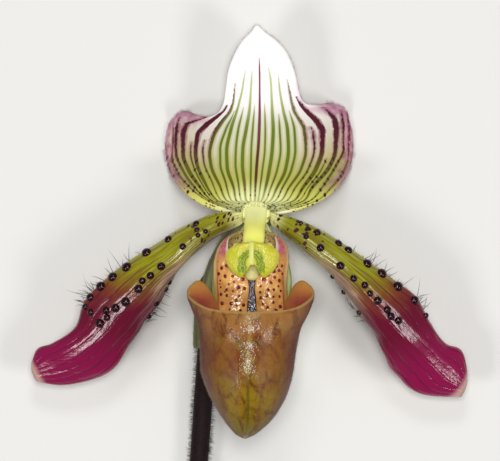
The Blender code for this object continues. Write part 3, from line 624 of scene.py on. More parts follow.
PETAL_STEPS = [0, 0.12, 0.25, 0.38, 0.5, 0.62, 0.74, 0.84, 0.92, 0.97, 1]
PETAL_DEPTH_UPPER = [1.65, 2.6, 2.4, 2.2, 1.8, 0.8, -0.5, -2.0, -4.5, -6.6, -7.2]
PETAL_DEPTH_RIB = [1.65, 4.0, 5.5, 6.0, 5.5, 4.0, 2.2, 0.4, -2.5, -5.0, -6.5]
PETAL_DEPTH_LOWER = [1.65, 0.0, -0.8, -0.5, 0, 0, -0.5, -2.0, -5.0, -6.8, -7.2]
LEFT_UPPER = [(-2.9, 0.7), (-8.6, 0.4), (-16.5, -2.9), (-21.7, -6.3), (-27.5, -9.9), (-33.0, -14.1),
              (-37.9, -19.4), (-40.1, -25.1), (-45.1, -28.4), (-48.7, -30.1), (-49.6, -33.2)]
LEFT_RIB = [(-2.9, -0.6), (-8.8, -3.3), (-13.8, -6.8), (-17.9, -10.7), (-22.1, -14.0), (-26.1, -18.2),
            (-30.3, -22.4), (-34.5, -27.3), (-40.6, -31.8), (-45.5, -33.8), (-49.5, -35.0)]
LEFT_LOWER = [(-2.9, -1.8), (-8.6, -4.3), (-13.0, -7.5), (-16.9, -11.2), (-19.1, -15.2), (-21.3, -19.4),
              (-24.2, -23.1), (-27.8, -28.4), (-33.8, -35.4), (-43.0, -37.6), (-48.5, -36.8)]
RIGHT_UPPER = [(3.1, 0.7), (8.6, -0.9), (14.5, -3.5), (20.2, -7.1), (25.5, -10.8), (30.8, -14.7),
               (35.4, -18.3), (38.4, -23.8), (42.0, -28.5), (45.9, -30.8), (46.8, -36.1)]
RIGHT_RIB = [(3.1, -0.6), (7.4, -4.0), (12.2, -7.5), (17.5, -11.4), (21.9, -15.3), (26.1, -19.7),
             (30.3, -24.4), (33.9, -28.2), (38.2, -32.4), (42.7, -36.7), (46.4, -38.3)]
RIGHT_LOWER = [(3.1, -1.8), (7.3, -4.8), (11.9, -8.7), (16.3, -12.8), (19.8, -17.6), (23.1, -22.0),
               (26.0, -26.0), (28.2, -30.6), (31.2, -35.4), (37.0, -39.6), (45.4, -40.2)]
LEFT_WARTS = [(-13.2, -1.9, 0.6), (-19.2, -5.3, 0.7), (-24.0, -8.4, 0.85), (-28.5, -11.4, 0.9),
              (-31.4, -13.5, 0.85), (-34.2, -15.6, 0.85), (-36.4, -18.1, 0.7), (-37.5, -20.3, 0.55),
              (-12.9, -3.2, 0.5), (-12.8, -4.4, 0.45), (-11.1, -3.6, 0.45), (-16.0, -6.8, 0.6),
              (-20.8, -11.2, 0.75), (-23.1, -13.3, 0.7), (-25.0, -14.4, 0.65), (-25.7, -16.3, 0.8),
              (-28.5, -19.0, 0.85), (-30.9, -20.4, 0.8), (-33.0, -20.8, 0.7), (-32.8, -22.5, 0.6),
              (-36.3, -21.3, 0.6), (-34.4, -23.9, 0.8),
              (-19.0, -14.8, 0.5), (-19.8, -16.4, 0.5), (-21.8, -19.6, 0.55), (-23.6, -22.4, 0.5)]
RIGHT_WARTS = [(9.8, -1.8, 0.4), (13.5, -3.8, 0.65), (18.0, -6.2, 0.7), (20.2, -7.7, 0.75), (24.4, -10.8, 0.85),
               (27.6, -12.8, 0.9), (31.2, -15.6, 0.9), (34.9, -18.7, 0.8), (37.5, -22.0, 0.5),
               (11.4, -2.9, 0.45), (10.9, -4.8, 0.5), (14.2, -7.2, 0.7), (18.5, -11.1, 0.75),
               (21.3, -13.9, 0.65), (23.8, -15.4, 0.65), (24.9, -17.1, 0.6), (26.6, -18.8, 0.75),
               (28.9, -20.8, 0.7), (29.6, -22.3, 0.7), (31.3, -23.3, 0.7),
               (16.8, -13.6, 0.45), (19.3, -16.9, 0.5), (22.6, -21.4, 0.5)]


def petal_grid(upper, rib, lower, rows, columns):
    """Across the blade a parabola through the lower edge, the folded rib and the upper edge, with five long
    flutes of cosine shape and a little fine waving of the edges."""
    s = np.linspace(0, 1, rows)[:, None] + 0 * np.linspace(0, 1, columns)
    t = np.linspace(-1, 1, columns)[None, :] + 0 * s
    curves = []
    for outline, depth in ((lower, PETAL_DEPTH_LOWER), (rib, PETAL_DEPTH_RIB), (upper, PETAL_DEPTH_UPPER)):
        curves.append(smooth(s, PETAL_STEPS, np.column_stack([outline, depth])))
    low, mid, high = curves
    share = t[..., None]
    grid = low * (share * (share - 1) / 2) + mid * (1 - share**2) + high * (share * (share + 1) / 2)
    grid[..., 2] += 0.16 * np.cos(t * np.pi * 5) * (1 - t**2) * ramp(s, 0.1, 0.4) * (1 - 0.6 * ramp(s, 0.5, 0.75))
    grid[..., 2] += 0.25 * np.sin(s * 31) * t**4 * ramp(s, 0.2, 0.4) * ramp(s, 1.0, 0.85)
    return grid, s, t


def petal_paint(name, colours):
    paint = Paint(name)
    s, t, back, across, along = map(paint.kept, ("s", "t", "back", "across", "along"))
    patchy = paint.noise(0.3, detail=4)
    streaks = paint.noise(2.2, paint.vector(t * 9, s * 3), detail=4)
    place = s + (streaks - 0.5) * 0.16 + (patchy - 0.5) * 0.1
    green = blend(ramp(t, -0.2, 0.6), (122, 110, 18), colours.petal_green)
    # The band below the rib: its own pale tan with brown lines, made paler as painted light on the lit fold
    fold = ramp(t + abs(s - 0.36) * 0.9 + (streaks - 0.5) * 0.3, 0.12, -0.1)
    near = ramp(s, 0.42, 0.24)
    pale = blend(ramp(streaks, 0.42, 0.6), blend(near, (204, 166, 142), (200, 188, 120)),
                 blend(near, (136, 84, 66), (122, 100, 44)))
    glow = (paint.x * paint.x + paint.y * paint.y).sqrt()
    rib = paint.lines(t * 3.5 + (patchy - 0.5) * 0.5, 0.14, 0.03)
    stripe = ramp(streaks, 0.5, 0.62) * ramp(s, 0.08, 0.2) * ramp(place, 0.68, 0.5)
    bright = ramp(streaks, 0.47, 0.36) * ramp(s, 0.08, 0.2) * ramp(place, 0.62, 0.45)
    small = ramp(paint.cells(0.85, paint.vector(across, along), randomness=0.8) + (patchy - 0.5) * 0.3
                 + ramp(s, 0.14, 0.34) * 0.25, 0.46, 0.38)
    rim = ramp(abs(t), 0.955, 0.985)
    tip = ramp(s, 0.985, 0.996).maximum(ramp(s, 0.93, 0.97) * ramp(t, -0.9, -0.97))
    shade = layers(green,
                   (ramp(place - t * 0.06, 0.42, 0.62), (118, 58, 30)),
                   # the pale band below the rib, partly painted light
                   (fold * ramp(place, 0.64, 0.46) * 0.9, pale),
                   (ramp(place - t * 0.08, 0.55, 0.72), colours.petal_magenta),
                   (ramp(s, 0.76, 0.95) * 0.65, (150, 4, 78)),
                   # painted glow: near white yellow round the flower's base
                   (ramp(glow, 7.5, 3.5) * 0.85, (246, 244, 168)),
                   (rib * ramp(s, 0.25, 0.5) * 0.55, (84, 10, 38)),
                   (stripe * 0.55, (112, 84, 20)),
                   (bright * 0.4, (176, 176, 36)),
                   (rib * ramp(s, 0.45, 0.2) * 0.5, (92, 78, 18)),
                   (small * ramp(s, 0.36, 0.26) * ramp(t, -0.55, -0.1) * ramp(s, 0.015, 0.05), (64, 24, 28)),
                   (rim * ramp(s, 0.5, 0.2) * 0.7, (206, 200, 130)),
                   (tip * 0.7, (212, 176, 160)),
                   (back * 0.2, (150, 120, 84)))
    long_waves = paint.noise(0.6, paint.vector(across, along * 0.3), detail=2)
    fine_waves = paint.noise(1.6, paint.vector(across * 1.6, along * 0.6))
    paint.bump(rib * -0.15 + long_waves * 1.1 + fine_waves * 0.2 + paint.noise(4) * 0.06, 0.8, 0.2)
    return paint.done(shade, 0.44 - ramp(s, 0.25, 0.6) * 0.12, coat=1, flesh=0.04, coat_roughness=0.18, specular=0.1)


# The lip: an angle runs round each level, from 0 at the front to 180 degrees at the back

LIP_Y = [-47.9, -47.3, -46.2, -44.0, -41.3, -37.2, -34.0, -31.0, -27.8, -24.4, -20.9, -16.5, -14.2]
LIP_HALF = [0.4, 1.6, 2.9, 4.9, 6.7, 8.6, 9.5, 9.8, 10.15, 10.9, 12.55, 14.2, 14.7]
LIP_CENTRE_X = [-2.4, -2.3, -2.1, -1.8, -1.7, -1.8, -1.9, -1.8, -1.6, -1.3, -1.1, -1.2, -1.3]
LIP_FRONT_Z = [17.4, 18.9, 20.4, 22.5, 24.1, 25.8, 26.4, 26.2, 25.8, 26.1, 25.4, 23.8, 23.0]
LIP_BACK_Z = [16.6, 15.4, 14.0, 12.2, 10.4, 8.4, 7.4, 6.6, 6.0, 5.4, 4.9, 4.3, 4.0]
CLAW_Y = [-2.6, -4.5, -7.0, -10.0, -14.0, -20.9]
CLAW_HALF = [2.2, 5.4, 7.3, 7.9, 7.7, 7.6]
CLAW_BACK_Z = [2.95, 3.0, 3.1, 3.3, 3.8, 4.9]
RIM_ANGLE = [0, 30, 45, 57, 68, 78, 84, 88, 92, 95, 98, 100, 102, 104, 106, 110, 116, 130, 150, 180]
RIM_Y = [-20.9, -20.6, -20.1, -19.3, -18.2, -16.7, -15.1, -14.3, -14.9, -16.4, -18.2, -17.8, -13.5, -8.8, -6.4,
         -5.5, -4.9, -4.2, -3.4, -2.6]
LOBE_Y = [-24.5, -20.0, -14.5, -12.0, -9.5, -7.4, -6.0, -4.9]
LOBE_INNER_X = [1.0, 0.9, 0.7, 1.6, 4.4, 5.2, 5.2, 4.9]
LOBE_INNER_Z = [11.2, 11.4, 11.4, 11.2, 10.8, 9.6, 8.6, 7.2]
LOBE_SLIT_X = -0.9
LOBE_ROOT_ANGLE = [108, 108, 108, 108, 108, 108, 109, 116]


def lip_point(y, angle):
    """The wall's middle surface at height y: an ellipse in the pouch, boxy and narrower behind by the claw."""
    sign, angle = np.sign(angle), np.abs(angle) + 0 * y
    boxy = 1 - 0.38 * ramp(y, -30, -19) * ramp(angle, 80, 125)
    level = np.minimum(y, LIP_Y[-1])
    half_front = smooth(level, LIP_Y, LIP_HALF)
    claw = np.clip(y, CLAW_Y[-1], CLAW_Y[0])
    half_claw = smooth(claw, CLAW_Y[::-1], CLAW_HALF[::-1])
    half_back = half_front + (half_claw - half_front) * ramp(y, -28, -20.9)
    half = half_front + (half_back - half_front) * ramp(angle, 75, 103)
    front = smooth(level, LIP_Y, LIP_FRONT_Z)
    back = np.where(y < CLAW_Y[-1], smooth(level, LIP_Y, LIP_BACK_Z), smooth(claw, CLAW_Y[::-1], CLAW_BACK_Z[::-1]))
    turn = np.radians(angle)
    across = np.abs(np.sin(turn)) ** boxy
    ahead = np.sign(np.cos(turn)) * np.abs(np.cos(turn)) ** boxy
    centre = smooth(np.clip(y, LIP_Y[0], LIP_Y[-1]), LIP_Y, LIP_CENTRE_X) * (1 - 0.6 * ramp(y, -14, -4))
    x = centre + sign * half * across
    return np.stack([x, y + 0 * angle, (front + back) / 2 + (front - back) / 2 * ahead], axis=-1)


def lip_shell(name, thickness):
    """Meridians from the toe up to the rim, with more of them where the rim is steep. The wall is two surfaces,
    joined by a rounded rim; both close on a point at the toe."""
    even = np.linspace(0, 1, 81)
    right = smooth(even, [0, 0.12, 0.3, 0.42, 0.7, 0.82, 1], [0, 20, 62, 84, 107, 130, 180])
    angle = np.concatenate([-right[:0:-1], right[:-1]])[None, :]
    rows = 90
    rim = smooth(np.abs(angle), RIM_ANGLE, RIM_Y)
    rise = np.linspace(0, 1, rows)[:, None] ** 1.2
    grid = lip_point(LIP_Y[0] + (rim - LIP_Y[0]) * rise, angle)
    wrapped = np.concatenate([grid[:, -1:], grid, grid[:, :1]], axis=1)
    normal = unit(np.cross(np.gradient(wrapped, axis=1), np.gradient(wrapped, axis=0)))[:, 1:-1]
    columns = grid.shape[1]
    taper = edge_taper(rows, columns, 0.55, ("last_row",))[..., None]
    keel = 0.015 * np.exp(-((angle / 2.2) ** 2)) * ramp(rise, 0.02, 0.2) * ramp(rise, 1.0, 0.8)
    outer = grid + normal * (thickness / 2 * taper + keel[..., None])
    inner = grid - normal * thickness / 2 * taper
    toe = grid[0].mean(axis=0)
    points = np.concatenate([outer.reshape(-1, 3), inner.reshape(-1, 3),
                             [toe - (0, thickness * 0.62, 0), toe + (0, thickness * 0.2, 0)]])
    skin = np.zeros((rows, columns))
    values = {"inside": (skin, skin + 1, [0, 1]), "around": (np.abs(angle) + skin,) * 2 + ([90, 90],),
              "rise": (rise + skin,) * 2 + ([0, 0],)}
    kept = {key: np.concatenate([np.ravel(part) for part in parts]) for key, parts in values.items()}
    return add_mesh(name, points, *two_skins(rows, columns), kept), outer, normal


def lobe_grid(side, rows, columns):
    """A strip from the claw's wall to the slit: its depth rises as 1 - (1 - u) cubed, with low uneven waves."""
    y = np.linspace(LOBE_Y[0], LOBE_Y[-1], rows)[:, None]
    u = np.linspace(0, 1, columns)[None, :, None]
    root = lip_point(y, side * smooth(y, LOBE_Y, LOBE_ROOT_ANGLE))
    edge = np.stack([LOBE_SLIT_X + side * smooth(y, LOBE_Y, LOBE_INNER_X), y, smooth(y, LOBE_Y, LOBE_INNER_Z)],
                    axis=-1)
    grid = root + (edge - root) * np.concatenate([u, u, 1 - (1 - u) ** 3], axis=-1)
    width = np.abs(edge - root)[..., 0]
    wave = np.sin(grid[..., 0] * 2.1 + y * 0.9) * np.sin(y * 1.7 - grid[..., 0] * 0.8)
    grid[..., 2] += np.minimum(width, 6) / 6 * (0.7 * np.sin(np.pi * u[..., 0]) + 0.08 * wave)
    return grid


def slit_floor_grid(rows, columns):
    """The dark strip that shows between the side lobes, 0.7 under their inner edges, with low uneven waves."""
    y = np.linspace(-23.5, -13.2, rows)[:, None]
    x = LOBE_SLIT_X + np.linspace(-1.3, 1.3, columns)[None, :]
    z = smooth(y, LOBE_Y, LOBE_INNER_Z) - 0.7 + 0.03 * np.sin(x * 7 + y * 3) * np.sin(y * 6)
    return np.stack([x + 0 * y, y + 0 * x, z + 0 * x], axis=-1)


def lip_paint(colours):
    paint = Paint("lip")
    x, y, z = paint.x, paint.y, paint.z
    inside, around, rise = map(paint.kept, ("inside", "around", "rise"))
    patchy = paint.noise(0.16, detail=4, stretch=0.4)
    warp = (paint.noise(0.25) - 0.5) * 2.4
    coarse = paint.cells(0.27, paint.vector(x + warp, y * 0.62 - warp, z * 0.8), "DISTANCE_TO_EDGE")
    fine = paint.cells(0.5, paint.vector(x - warp, y * 0.7 + warp * 0.6, z * 0.8), "DISTANCE_TO_EDGE")
    net = ramp(coarse, 0.16, 0) * 0.7 + ramp(fine, 0.11, 0) * 0.4
    net = net * ramp(paint.noise(0.5, paint.vector(x, y * 0.62, z * 0.8)), 0.3, 0.6)
    brown = blend(ramp(patchy, 0.3, 0.7), (114, 54, 4), colours.lip_brown)
    mossy = ramp(paint.noise(0.3), 0.48, 0.62) * ramp(around, 60, 20)
    sides = ramp(around + (patchy - 0.5) * 30, 34, 84)
    specks = ramp(paint.cells(1.5), 0.3, 0.12) * ramp(patchy, 0.45, 0.6)
    lower = ramp(y, -33, -37)
    centre = ramp(around, 2.8, 0.8) * ramp(y, -21, -26)
    keel = blend(lower, (166, 154, 76), (64, 68, 10))
    claw = ramp(around, 96, 102) * ramp(y, -18, -14)
    outer = layers(brown,
                   (mossy * 0.6, (124, 106, 18)),
                   (ramp(y, -30, -43) * 0.7, (136, 114, 16)),
                   (ramp(y, -41, -46.5) * 0.7, (102, 92, 6)),
                   (ramp(y, -28.5, -23) * 0.45, (182, 136, 76)),
                   (sides * 0.9, (72, 12, 8)),
                   (net * 0.8, (88, 32, 10)),
                   (specks * 0.35, (98, 34, 24)),
                   (centre * (lower * 0.35 + 0.25), keel),
                   (claw * 0.85, (168, 146, 100)),
                   (ramp(around, 118, 140) * 0.6, (142, 122, 66)),
                   (ramp(rise, 0.975, 0.995) * 0.5, (196, 160, 90)))

    mottled = paint.noise(0.6, detail=4)
    flesh = blend(mottled, (192, 130, 62), (164, 78, 42))
    blush = ramp(abs(around - 80), 22, 6) * ramp(y + (mottled - 0.5) * 4, -16.2, -19.2)
    behind = ramp(around, 106, 114)
    dots = ramp(paint.cells(1.8) + (patchy - 0.5) * 0.3, 0.38, 0.26) * behind
    slit = ramp(abs(x - LOBE_SLIT_X), 3, 1.8) * ramp(y, -12.4, -13.6) * behind
    inner = layers(flesh,
                   (ramp(rise, 0.93, 0.99) * 0.7, (168, 124, 52)),
                   (blush * 0.85, (138, 36, 48)),
                   # The claw's inner wall: its own speckled tan, made lighter as painted light against the shade
                   # behind the column
                   (behind, blend(mottled, (218, 194, 126), (172, 148, 92))),
                   (dots, (62, 26, 22)),
                   (slit, (40, 8, 34)))
    paint.bump(paint.noise(3.2, detail=1) * 0.75 + net * -0.4 + paint.noise(0.5, detail=4) * 1.6, 0.65, 0.13)
    dull = ramp(around, 11, 18) * ramp(y, -26.5, -28.5)
    dull = dull.maximum(ramp(around, 30, 50))
    return paint.done(blend(inside, outer, inner), paint.noise(1.2) * 0.06 + dull * 0.32 + 0.15, flesh=0.05,
                      specular=0.4)


def lobe_paint():
    paint = Paint("lip_lobes")
    y, u = paint.y, paint.kept("u")
    patchy = paint.noise(0.4, detail=4)
    wander = (patchy - 0.5) * 3
    pink = ramp(y + wander, -10.4, -7.6) * ramp(u, 0, 0.15)
    rose = blend(ramp(paint.noise(1.6), 0.4, 0.6), (196, 96, 124), (156, 64, 84))
    white = ramp(u + wander * 0.06, 0.62, 0.84) * ramp(y, -11.6, -9.4)
    small = ramp(paint.cells(0.7) + (patchy - 0.5) * 0.25, 0.22, 0.15) * ramp(u, 0.8, 0.7)
    shade = layers(blend(ramp(patchy, 0.35, 0.7), (202, 140, 70), (228, 172, 96)),
                   (ramp(u, 0.2, 0) * 0.6, (176, 122, 96)),
                   (pink * 0.85, rose),
                   (white * 0.85, (236, 216, 196)),
                   (ramp(u, 0.95, 0.98) * ramp(y, -13.2, -14.6), (52, 12, 36)),
                   (small * ramp(y, -9, -11) * 0.9, (124, 34, 28)))
    paint.bump(paint.cells(1.5) * 0.9 + paint.noise(2.2) * 0.5, 0.8, 0.16)
    return paint.done(shade, 0.3, coat=1, flesh=0.05, specular=0.15)


def slit_paint():
    paint = Paint("lip_slit")
    shade = blend(paint.noise(1.5), (60, 12, 42), (30, 4, 22))
    paint.bump(paint.noise(2.4, detail=1) * 1.2, 1, 0.1)
    return paint.done(shade, 0.3, coat=1, coat_roughness=0.04, specular=0.1)


# The column, the shield and the pollen

COLUMN_PATH = [(0, 1.8, 0.7), (-0.1, -0.3, 2.9), (-0.3, -2.6, 5.9), (-0.5, -5.0, 9.4), (-0.8, -7.6, 11.6)]
COLUMN_HALF_WIDTH = [2.6, 2.4, 2.3, 2.4, 2.2]
COLUMN_HALF_DEPTH = [1.0, 1.3, 1.8, 2.1, 1.8]
STIGMA_PATH = [(-0.6, -4.0, 10.8), (-0.8, -8.0, 10.9), (-0.9, -11.5, 11.9), (-0.9, -14.3, 12.6)]
STIGMA_HALF_WIDTH = [1.5, 1.8, 1.9, 1.2]
STIGMA_HALF_DEPTH = [0.75, 0.75]
STAMINODE_CENTRE = np.array([-0.8, -8.9, 15.2])
STAMINODE_HALF_WIDTH = 5.85
STAMINODE_MIDDLE = 0.7
STAMINODE_THICKNESS = 1.1


def staminode_outline(angle):
    """Radius of the shield at an angle from straight down: two half ellipses, a deep notch at the bottom and a
    low point at the top."""
    high = np.where(np.cos(angle) < 0, 3.0, 5.3)
    plate = 1 / np.sqrt((np.sin(angle) / STAMINODE_HALF_WIDTH) ** 2 + (np.cos(angle) / high) ** 2)
    notch = 1 - 0.6 * (1 - ramp(np.abs(angle), 0.22, 0.48))
    point = 1 + 0.08 * np.exp(-(((np.abs(angle) - np.pi) / 0.2) ** 2))
    return plate * notch * point


def staminode_solid(name):
    """Rings from the middle to the outline, domed as 1.5 times the square of radius over half-width, with a raised
    ridge down the middle and a groove round it. The back is a thickness lower, without them; the edge is thin."""
    even = np.linspace(-np.pi, np.pi, 160, endpoint=False)[None, :]
    angle = even - 0.6 * np.sin(even)
    share = np.linspace(0, 1, 34)[:, None]
    outline = staminode_outline(angle)
    radius = STAMINODE_MIDDLE * share + (outline - STAMINODE_MIDDLE) * share**1.1
    x = STAMINODE_CENTRE[0] + radius * np.sin(angle)
    y = STAMINODE_CENTRE[1] - radius * np.cos(angle)
    z = STAMINODE_CENTRE[2] - 1.5 * (radius / STAMINODE_HALF_WIDTH) ** 2
    dx = x - STAMINODE_CENTRE[0]
    ridge = 0.16 * np.exp(-((dx / 0.45) ** 2)) * ramp(y, -11, -9) * ramp(share, 1.0, 0.8)
    groove = -0.14 * np.exp(-(((radius - 2.3) / 0.7) ** 2)) * (1 - np.exp(-((dx / 0.7) ** 2)))
    half = STAMINODE_THICKNESS / 2 * np.sqrt(np.clip(1 - ramp(share, 0.82, 1.0) ** 2 * 0.9, 0, 1))
    middle = z - STAMINODE_THICKNESS / 2
    top = np.stack([x, y, middle + half + (ridge + groove)], axis=-1)[1:]
    under = np.stack([x, y, middle - half], axis=-1)[1:]
    poles = STAMINODE_CENTRE + [(0, 0, 0.16), (0, 0, -STAMINODE_THICKNESS)]
    points = np.concatenate([top.reshape(-1, 3), under.reshape(-1, 3), poles])
    quads, fans = two_skins(*top.shape[:2])
    return add_mesh(name, points, quads[:, ::-1], fans[:, ::-1])


def staminode_paint(colours):
    paint = Paint("staminode")
    x, y = paint.x + 1, paint.y + 10.4
    above = y.maximum(0) * 0.95
    arch = (x * x + above * above).sqrt()
    patchy = paint.noise(0.8, detail=4)
    warp = (paint.noise(0.9, detail=4) - 0.5) * 1.5
    sides = ramp(abs(x), 0.25, 0.7)
    band = ramp(abs(arch + warp * 0.5 - 2), 1.2, 0.5) * sides * ramp(y, -3, -1.6)
    lines = paint.lines((arch + warp) * 1.5, 0.36, 0.12)
    rays = paint.lines(x.arctan2(y) * 3.2 + warp, 0.2, 0.05)
    net = lines.maximum(rays * 0.7) * band
    rim = ramp(((x - 0.2) ** 2 + (y - 1.5) * (y - 1.5)).sqrt(), 4.6, 5.8)
    shade = layers(blend(ramp(patchy, 0.35, 0.7), colours.shield_green, (206, 194, 56)),
                   (band * 0.55, (132, 156, 16)),
                   (net * 0.75, (76, 118, 0)),
                   # painted highlight: a pale stripe down the top of the middle ridge
                   (ramp(abs(x), 0.8, 0.2) * ramp(y, -2.4, -0.6) * 0.75, (222, 222, 130)),
                   (rim * 0.5, (206, 190, 84)))
    paint.bump(net * -0.8 + paint.noise(2, detail=4) + paint.cells(2.4) * 0.4, 0.8, 0.16)
    return paint.done(shade, 0.32, coat=0.6, flesh=0.06, coat_roughness=0.18, specular=0.15)


def column_paint():
    paint = Paint("column")
    y = paint.y
    speck = ramp(paint.cells(1.6), 0.28, 0.16) * ramp(y, -9.5, -11.5)
    shade = layers(blend(paint.noise(0.7, detail=4), (255, 252, 130), (244, 244, 104)),
                   # painted light: near white yellow at the top of the column and the collar, a painted glow at the
                   # flower's base
                   (ramp(y, -3, 0.4), (255, 255, 172)),
                   (ramp(y, -7, -11), (198, 190, 120)),
                   (speck * 0.6, (172, 120, 96)))
    paint.bump(paint.noise(2.5) * 0.6 + paint.noise(7) * 0.3, 0.5, 0.1)
    return paint.done(shade, 0.34, coat=0.2, flesh=0.1)


def pollen_paint():
    paint = Paint("pollinium")
    shade = blend(paint.noise(1.6), (226, 190, 84), (240, 214, 120))
    paint.bump(paint.cells(3.5) * 0.6 + paint.noise(2) * 0.4, 0.7, 0.1)
    return paint.done(shade, 0.28, coat=0.5)


# The synsepal, the ovary, the bract and the stem

SYNSEPAL_REACH = [1.7, 5, 10, 17, 24, 30, 33.5]
SYNSEPAL_HALF = [2.3, 4.5, 7.8, 8.7, 7.6, 4.4, 0.8]
SYNSEPAL_Z = [0.45, 0.4, -1.0, -2.0, -2.0, -1.6, -0.8]
OVARY_PATH = [(-10.7, -27.0, -11.4), (-10.1, -19.5, -11.5), (-8.7, -12.5, -11.7), (-5.0, -5.4, -11.3),
              (-1.5, -1.2, -8.3), (-0.1, 0.0, -4.4), (0.0, 0.0, -1.6), (0.0, 0.0, -0.3)]
OVARY_RADIUS = [2.05, 2.25, 2.35, 2.4, 2.4, 2.5, 3.4, 3.9]
OVARY_RIBS, OVARY_RIB_HEIGHT = 6, 0.16
BRACT_GAP, BRACT_HALF = 0.35, 0.35
STEM_TOP = np.array([-10.75, -27.6, -11.4])
STEM_END_Y = -78.0
STEM_RADIUS = 2.1


def synsepal_grid(rows, columns):
    """A pointed blade, its half-width and depth smooth functions of the distance from the base, cupped by
    1.5 times the square of the share across."""
    q = np.linspace(-1, 1, columns)[None, :]
    reach = np.linspace(SYNSEPAL_REACH[0], SYNSEPAL_REACH[-1], rows)[:, None] + 0 * q
    half = smooth(reach, SYNSEPAL_REACH, SYNSEPAL_HALF)
    x = q * half - 0.9 * ramp(reach, 2, 12)
    z = smooth(reach, SYNSEPAL_REACH, SYNSEPAL_Z) + 1.5 * q**2 * ramp(half, 3, 9)
    return np.stack([x, -reach, z], axis=-1)[:, ::-1], q[:, ::-1] + 0 * reach


def stem_point(y):
    """The stem's middle: it leaves the ovary in line and sinks, as a smooth step, until it lies on the table."""
    along = (y - STEM_TOP[1]) / (STEM_END_Y - STEM_TOP[1])
    x = STEM_TOP[0] - 3.6 * along
    z = STEM_TOP[2] + (-BASE_POINT[2] + STEM_RADIUS - STEM_TOP[2]) * ramp(along, -0.3, 1)
    return np.stack([x, y + 0 * along, z], axis=-1)


def synsepal_paint():
    paint = Paint("synsepal")
    q = paint.kept("q")
    line = paint.lines(q * 5 + (paint.noise(0.4) - 0.5) * 0.3, 0.2, 0.06)
    ground = blend(paint.noise(0.4), (196, 200, 140), (176, 184, 112))
    shade = blend(line * 0.8, ground, (104, 122, 44))
    paint.bump(line * 0.6 + paint.noise(5) * 0.3, 0.5, 0.1)
    return paint.done(shade, 0.45, flesh=0.1)


def ovary_paint():
    paint = Paint("ovary")
    ridge = paint.kept("ridge")
    ground = blend(ridge, (96, 84, 62), (124, 128, 80))
    shade = blend(ramp(paint.y, -16, -27) * 0.6, ground, (72, 46, 44))
    paint.bump(paint.noise(4) * 0.6, 0.6, 0.15)
    return paint.done(shade, 0.55, sheen=0.15)


def stem_paint(colours):
    paint = Paint("scape")
    patchy = paint.noise(0.8, detail=4)
    # Dark maroon, darkened almost to black as painted shade
    shade = blend(patchy, colours.stem_maroon, (34, 18, 19))
    shade = blend(ramp(paint.y, STEM_END_Y + 0.1, STEM_END_Y + 0.04), shade, (150, 160, 104))
    paint.bump(patchy * 0.5 + paint.noise(6) * 0.5, 0.6, 0.15)
    return paint.done(shade, 0.6, sheen=0.04, specular=0.12)


def bract_paint():
    paint = Paint("bract")
    line = paint.lines(paint.kept("t") * 5, 0.25, 0.1)
    # A dull green, darkened as painted shade
    ground = blend(paint.noise(0.5), (104, 108, 62), (84, 84, 50))
    shade = blend(line * 0.5, ground, (70, 58, 40))
    paint.bump(line * 0.5 + paint.noise(5) * 0.4, 0.6, 0.12)
    return paint.done(shade, 0.5)


def plain_paint(name, colour, roughness=0.5):
    """One colour, a quarter darker in patches."""
    paint = Paint(name)
    light = screen(*colour)
    dark = (*(c * 0.75 for c in light[:3]), 1)
    return paint.done(blend(paint.noise(0.8), light, dark), roughness, specular=0.35)


# Sizes and colours in the sidebar

def colour_property(name, red, green, blue):
    return FloatVectorProperty(name=name, subtype="COLOR", size=4, min=0, max=1, default=screen(red, green, blue),
                               description=name + ", in linear light")


class OrchidSizes(bpy.types.PropertyGroup):
    """Sizes of the pieces, in metres."""
    blade: FloatProperty(name="Sepal and petal thickness", default=0.00085, unit="LENGTH", precision=5,
                         description="Thickness of the sepals and petals in their middle")
    lip_wall: FloatProperty(name="Pouch wall", default=0.0009, unit="LENGTH", precision=5,
                            description="Thickness of the pouch")
    margin_hair: FloatProperty(name="Margin hair", default=0.0007, unit="LENGTH", precision=5,
                               description="Length of the pale hairs on the dorsal sepal's edge")
    wart_hair: FloatProperty(name="Wart hair", default=0.0038, unit="LENGTH", precision=5,
                             description="Length of the black hairs on the petals' edges")
    stem_hair: FloatProperty(name="Stem hair", default=0.0011, unit="LENGTH", precision=5,
                             description="Length of the hairs on the stem")
    stem_hairs: IntProperty(name="Stem hairs", default=3600, min=0, max=20000,
                            description="Number of hairs on the stem")


class OrchidColours(bpy.types.PropertyGroup):
    """Leading colours of the materials."""
    dorsal_white: colour_property("Dorsal sepal white", 246, 242, 240)
    dorsal_green: colour_property("Dorsal sepal green", 208, 202, 84)
    vein_purple: colour_property("Vein purple", 78, 16, 34)
    petal_green: colour_property("Petal green", 146, 144, 8)
    petal_magenta: colour_property("Petal magenta", 100, 0, 36)
    lip_brown: colour_property("Pouch brown", 136, 88, 20)
    shield_green: colour_property("Shield green", 188, 190, 26)
    # The stem's maroon, darkened almost to black as painted shade
    stem_maroon: colour_property("Stem maroon", 24, 11, 13)
    floor: colour_property("Floor", 226, 224, 220)


# The pieces; hair counts are for a whole piece, or for one edge of a petal

MARGIN_HAIRS, LONG_HAIRS, SHORT_HAIRS, FUZZ_HAIRS = 1500, 30, 160, 5200
COLLAR_HAIRS, OVARY_HAIRS, BRACT_HAIRS = 170, 1500, 500
NEAR_TABLE_Z = -14.0  # under this height hairs don't point down
WART_WIDENING = 1.3
LOBE_WARTS, LOBE_WART_GAP = 34, 1.15


def nearest_on(grid, normals, x, y):
    """The grid point and its normal nearest to each pair x, y."""
    flat, facing = grid.reshape(-1, 3), normals.reshape(-1, 3)
    distance = (flat[:, 0][None] - x[:, None]) ** 2 + (flat[:, 1][None] - y[:, None]) ** 2
    found = np.argmin(distance, axis=1)
    return flat[found], facing[found]


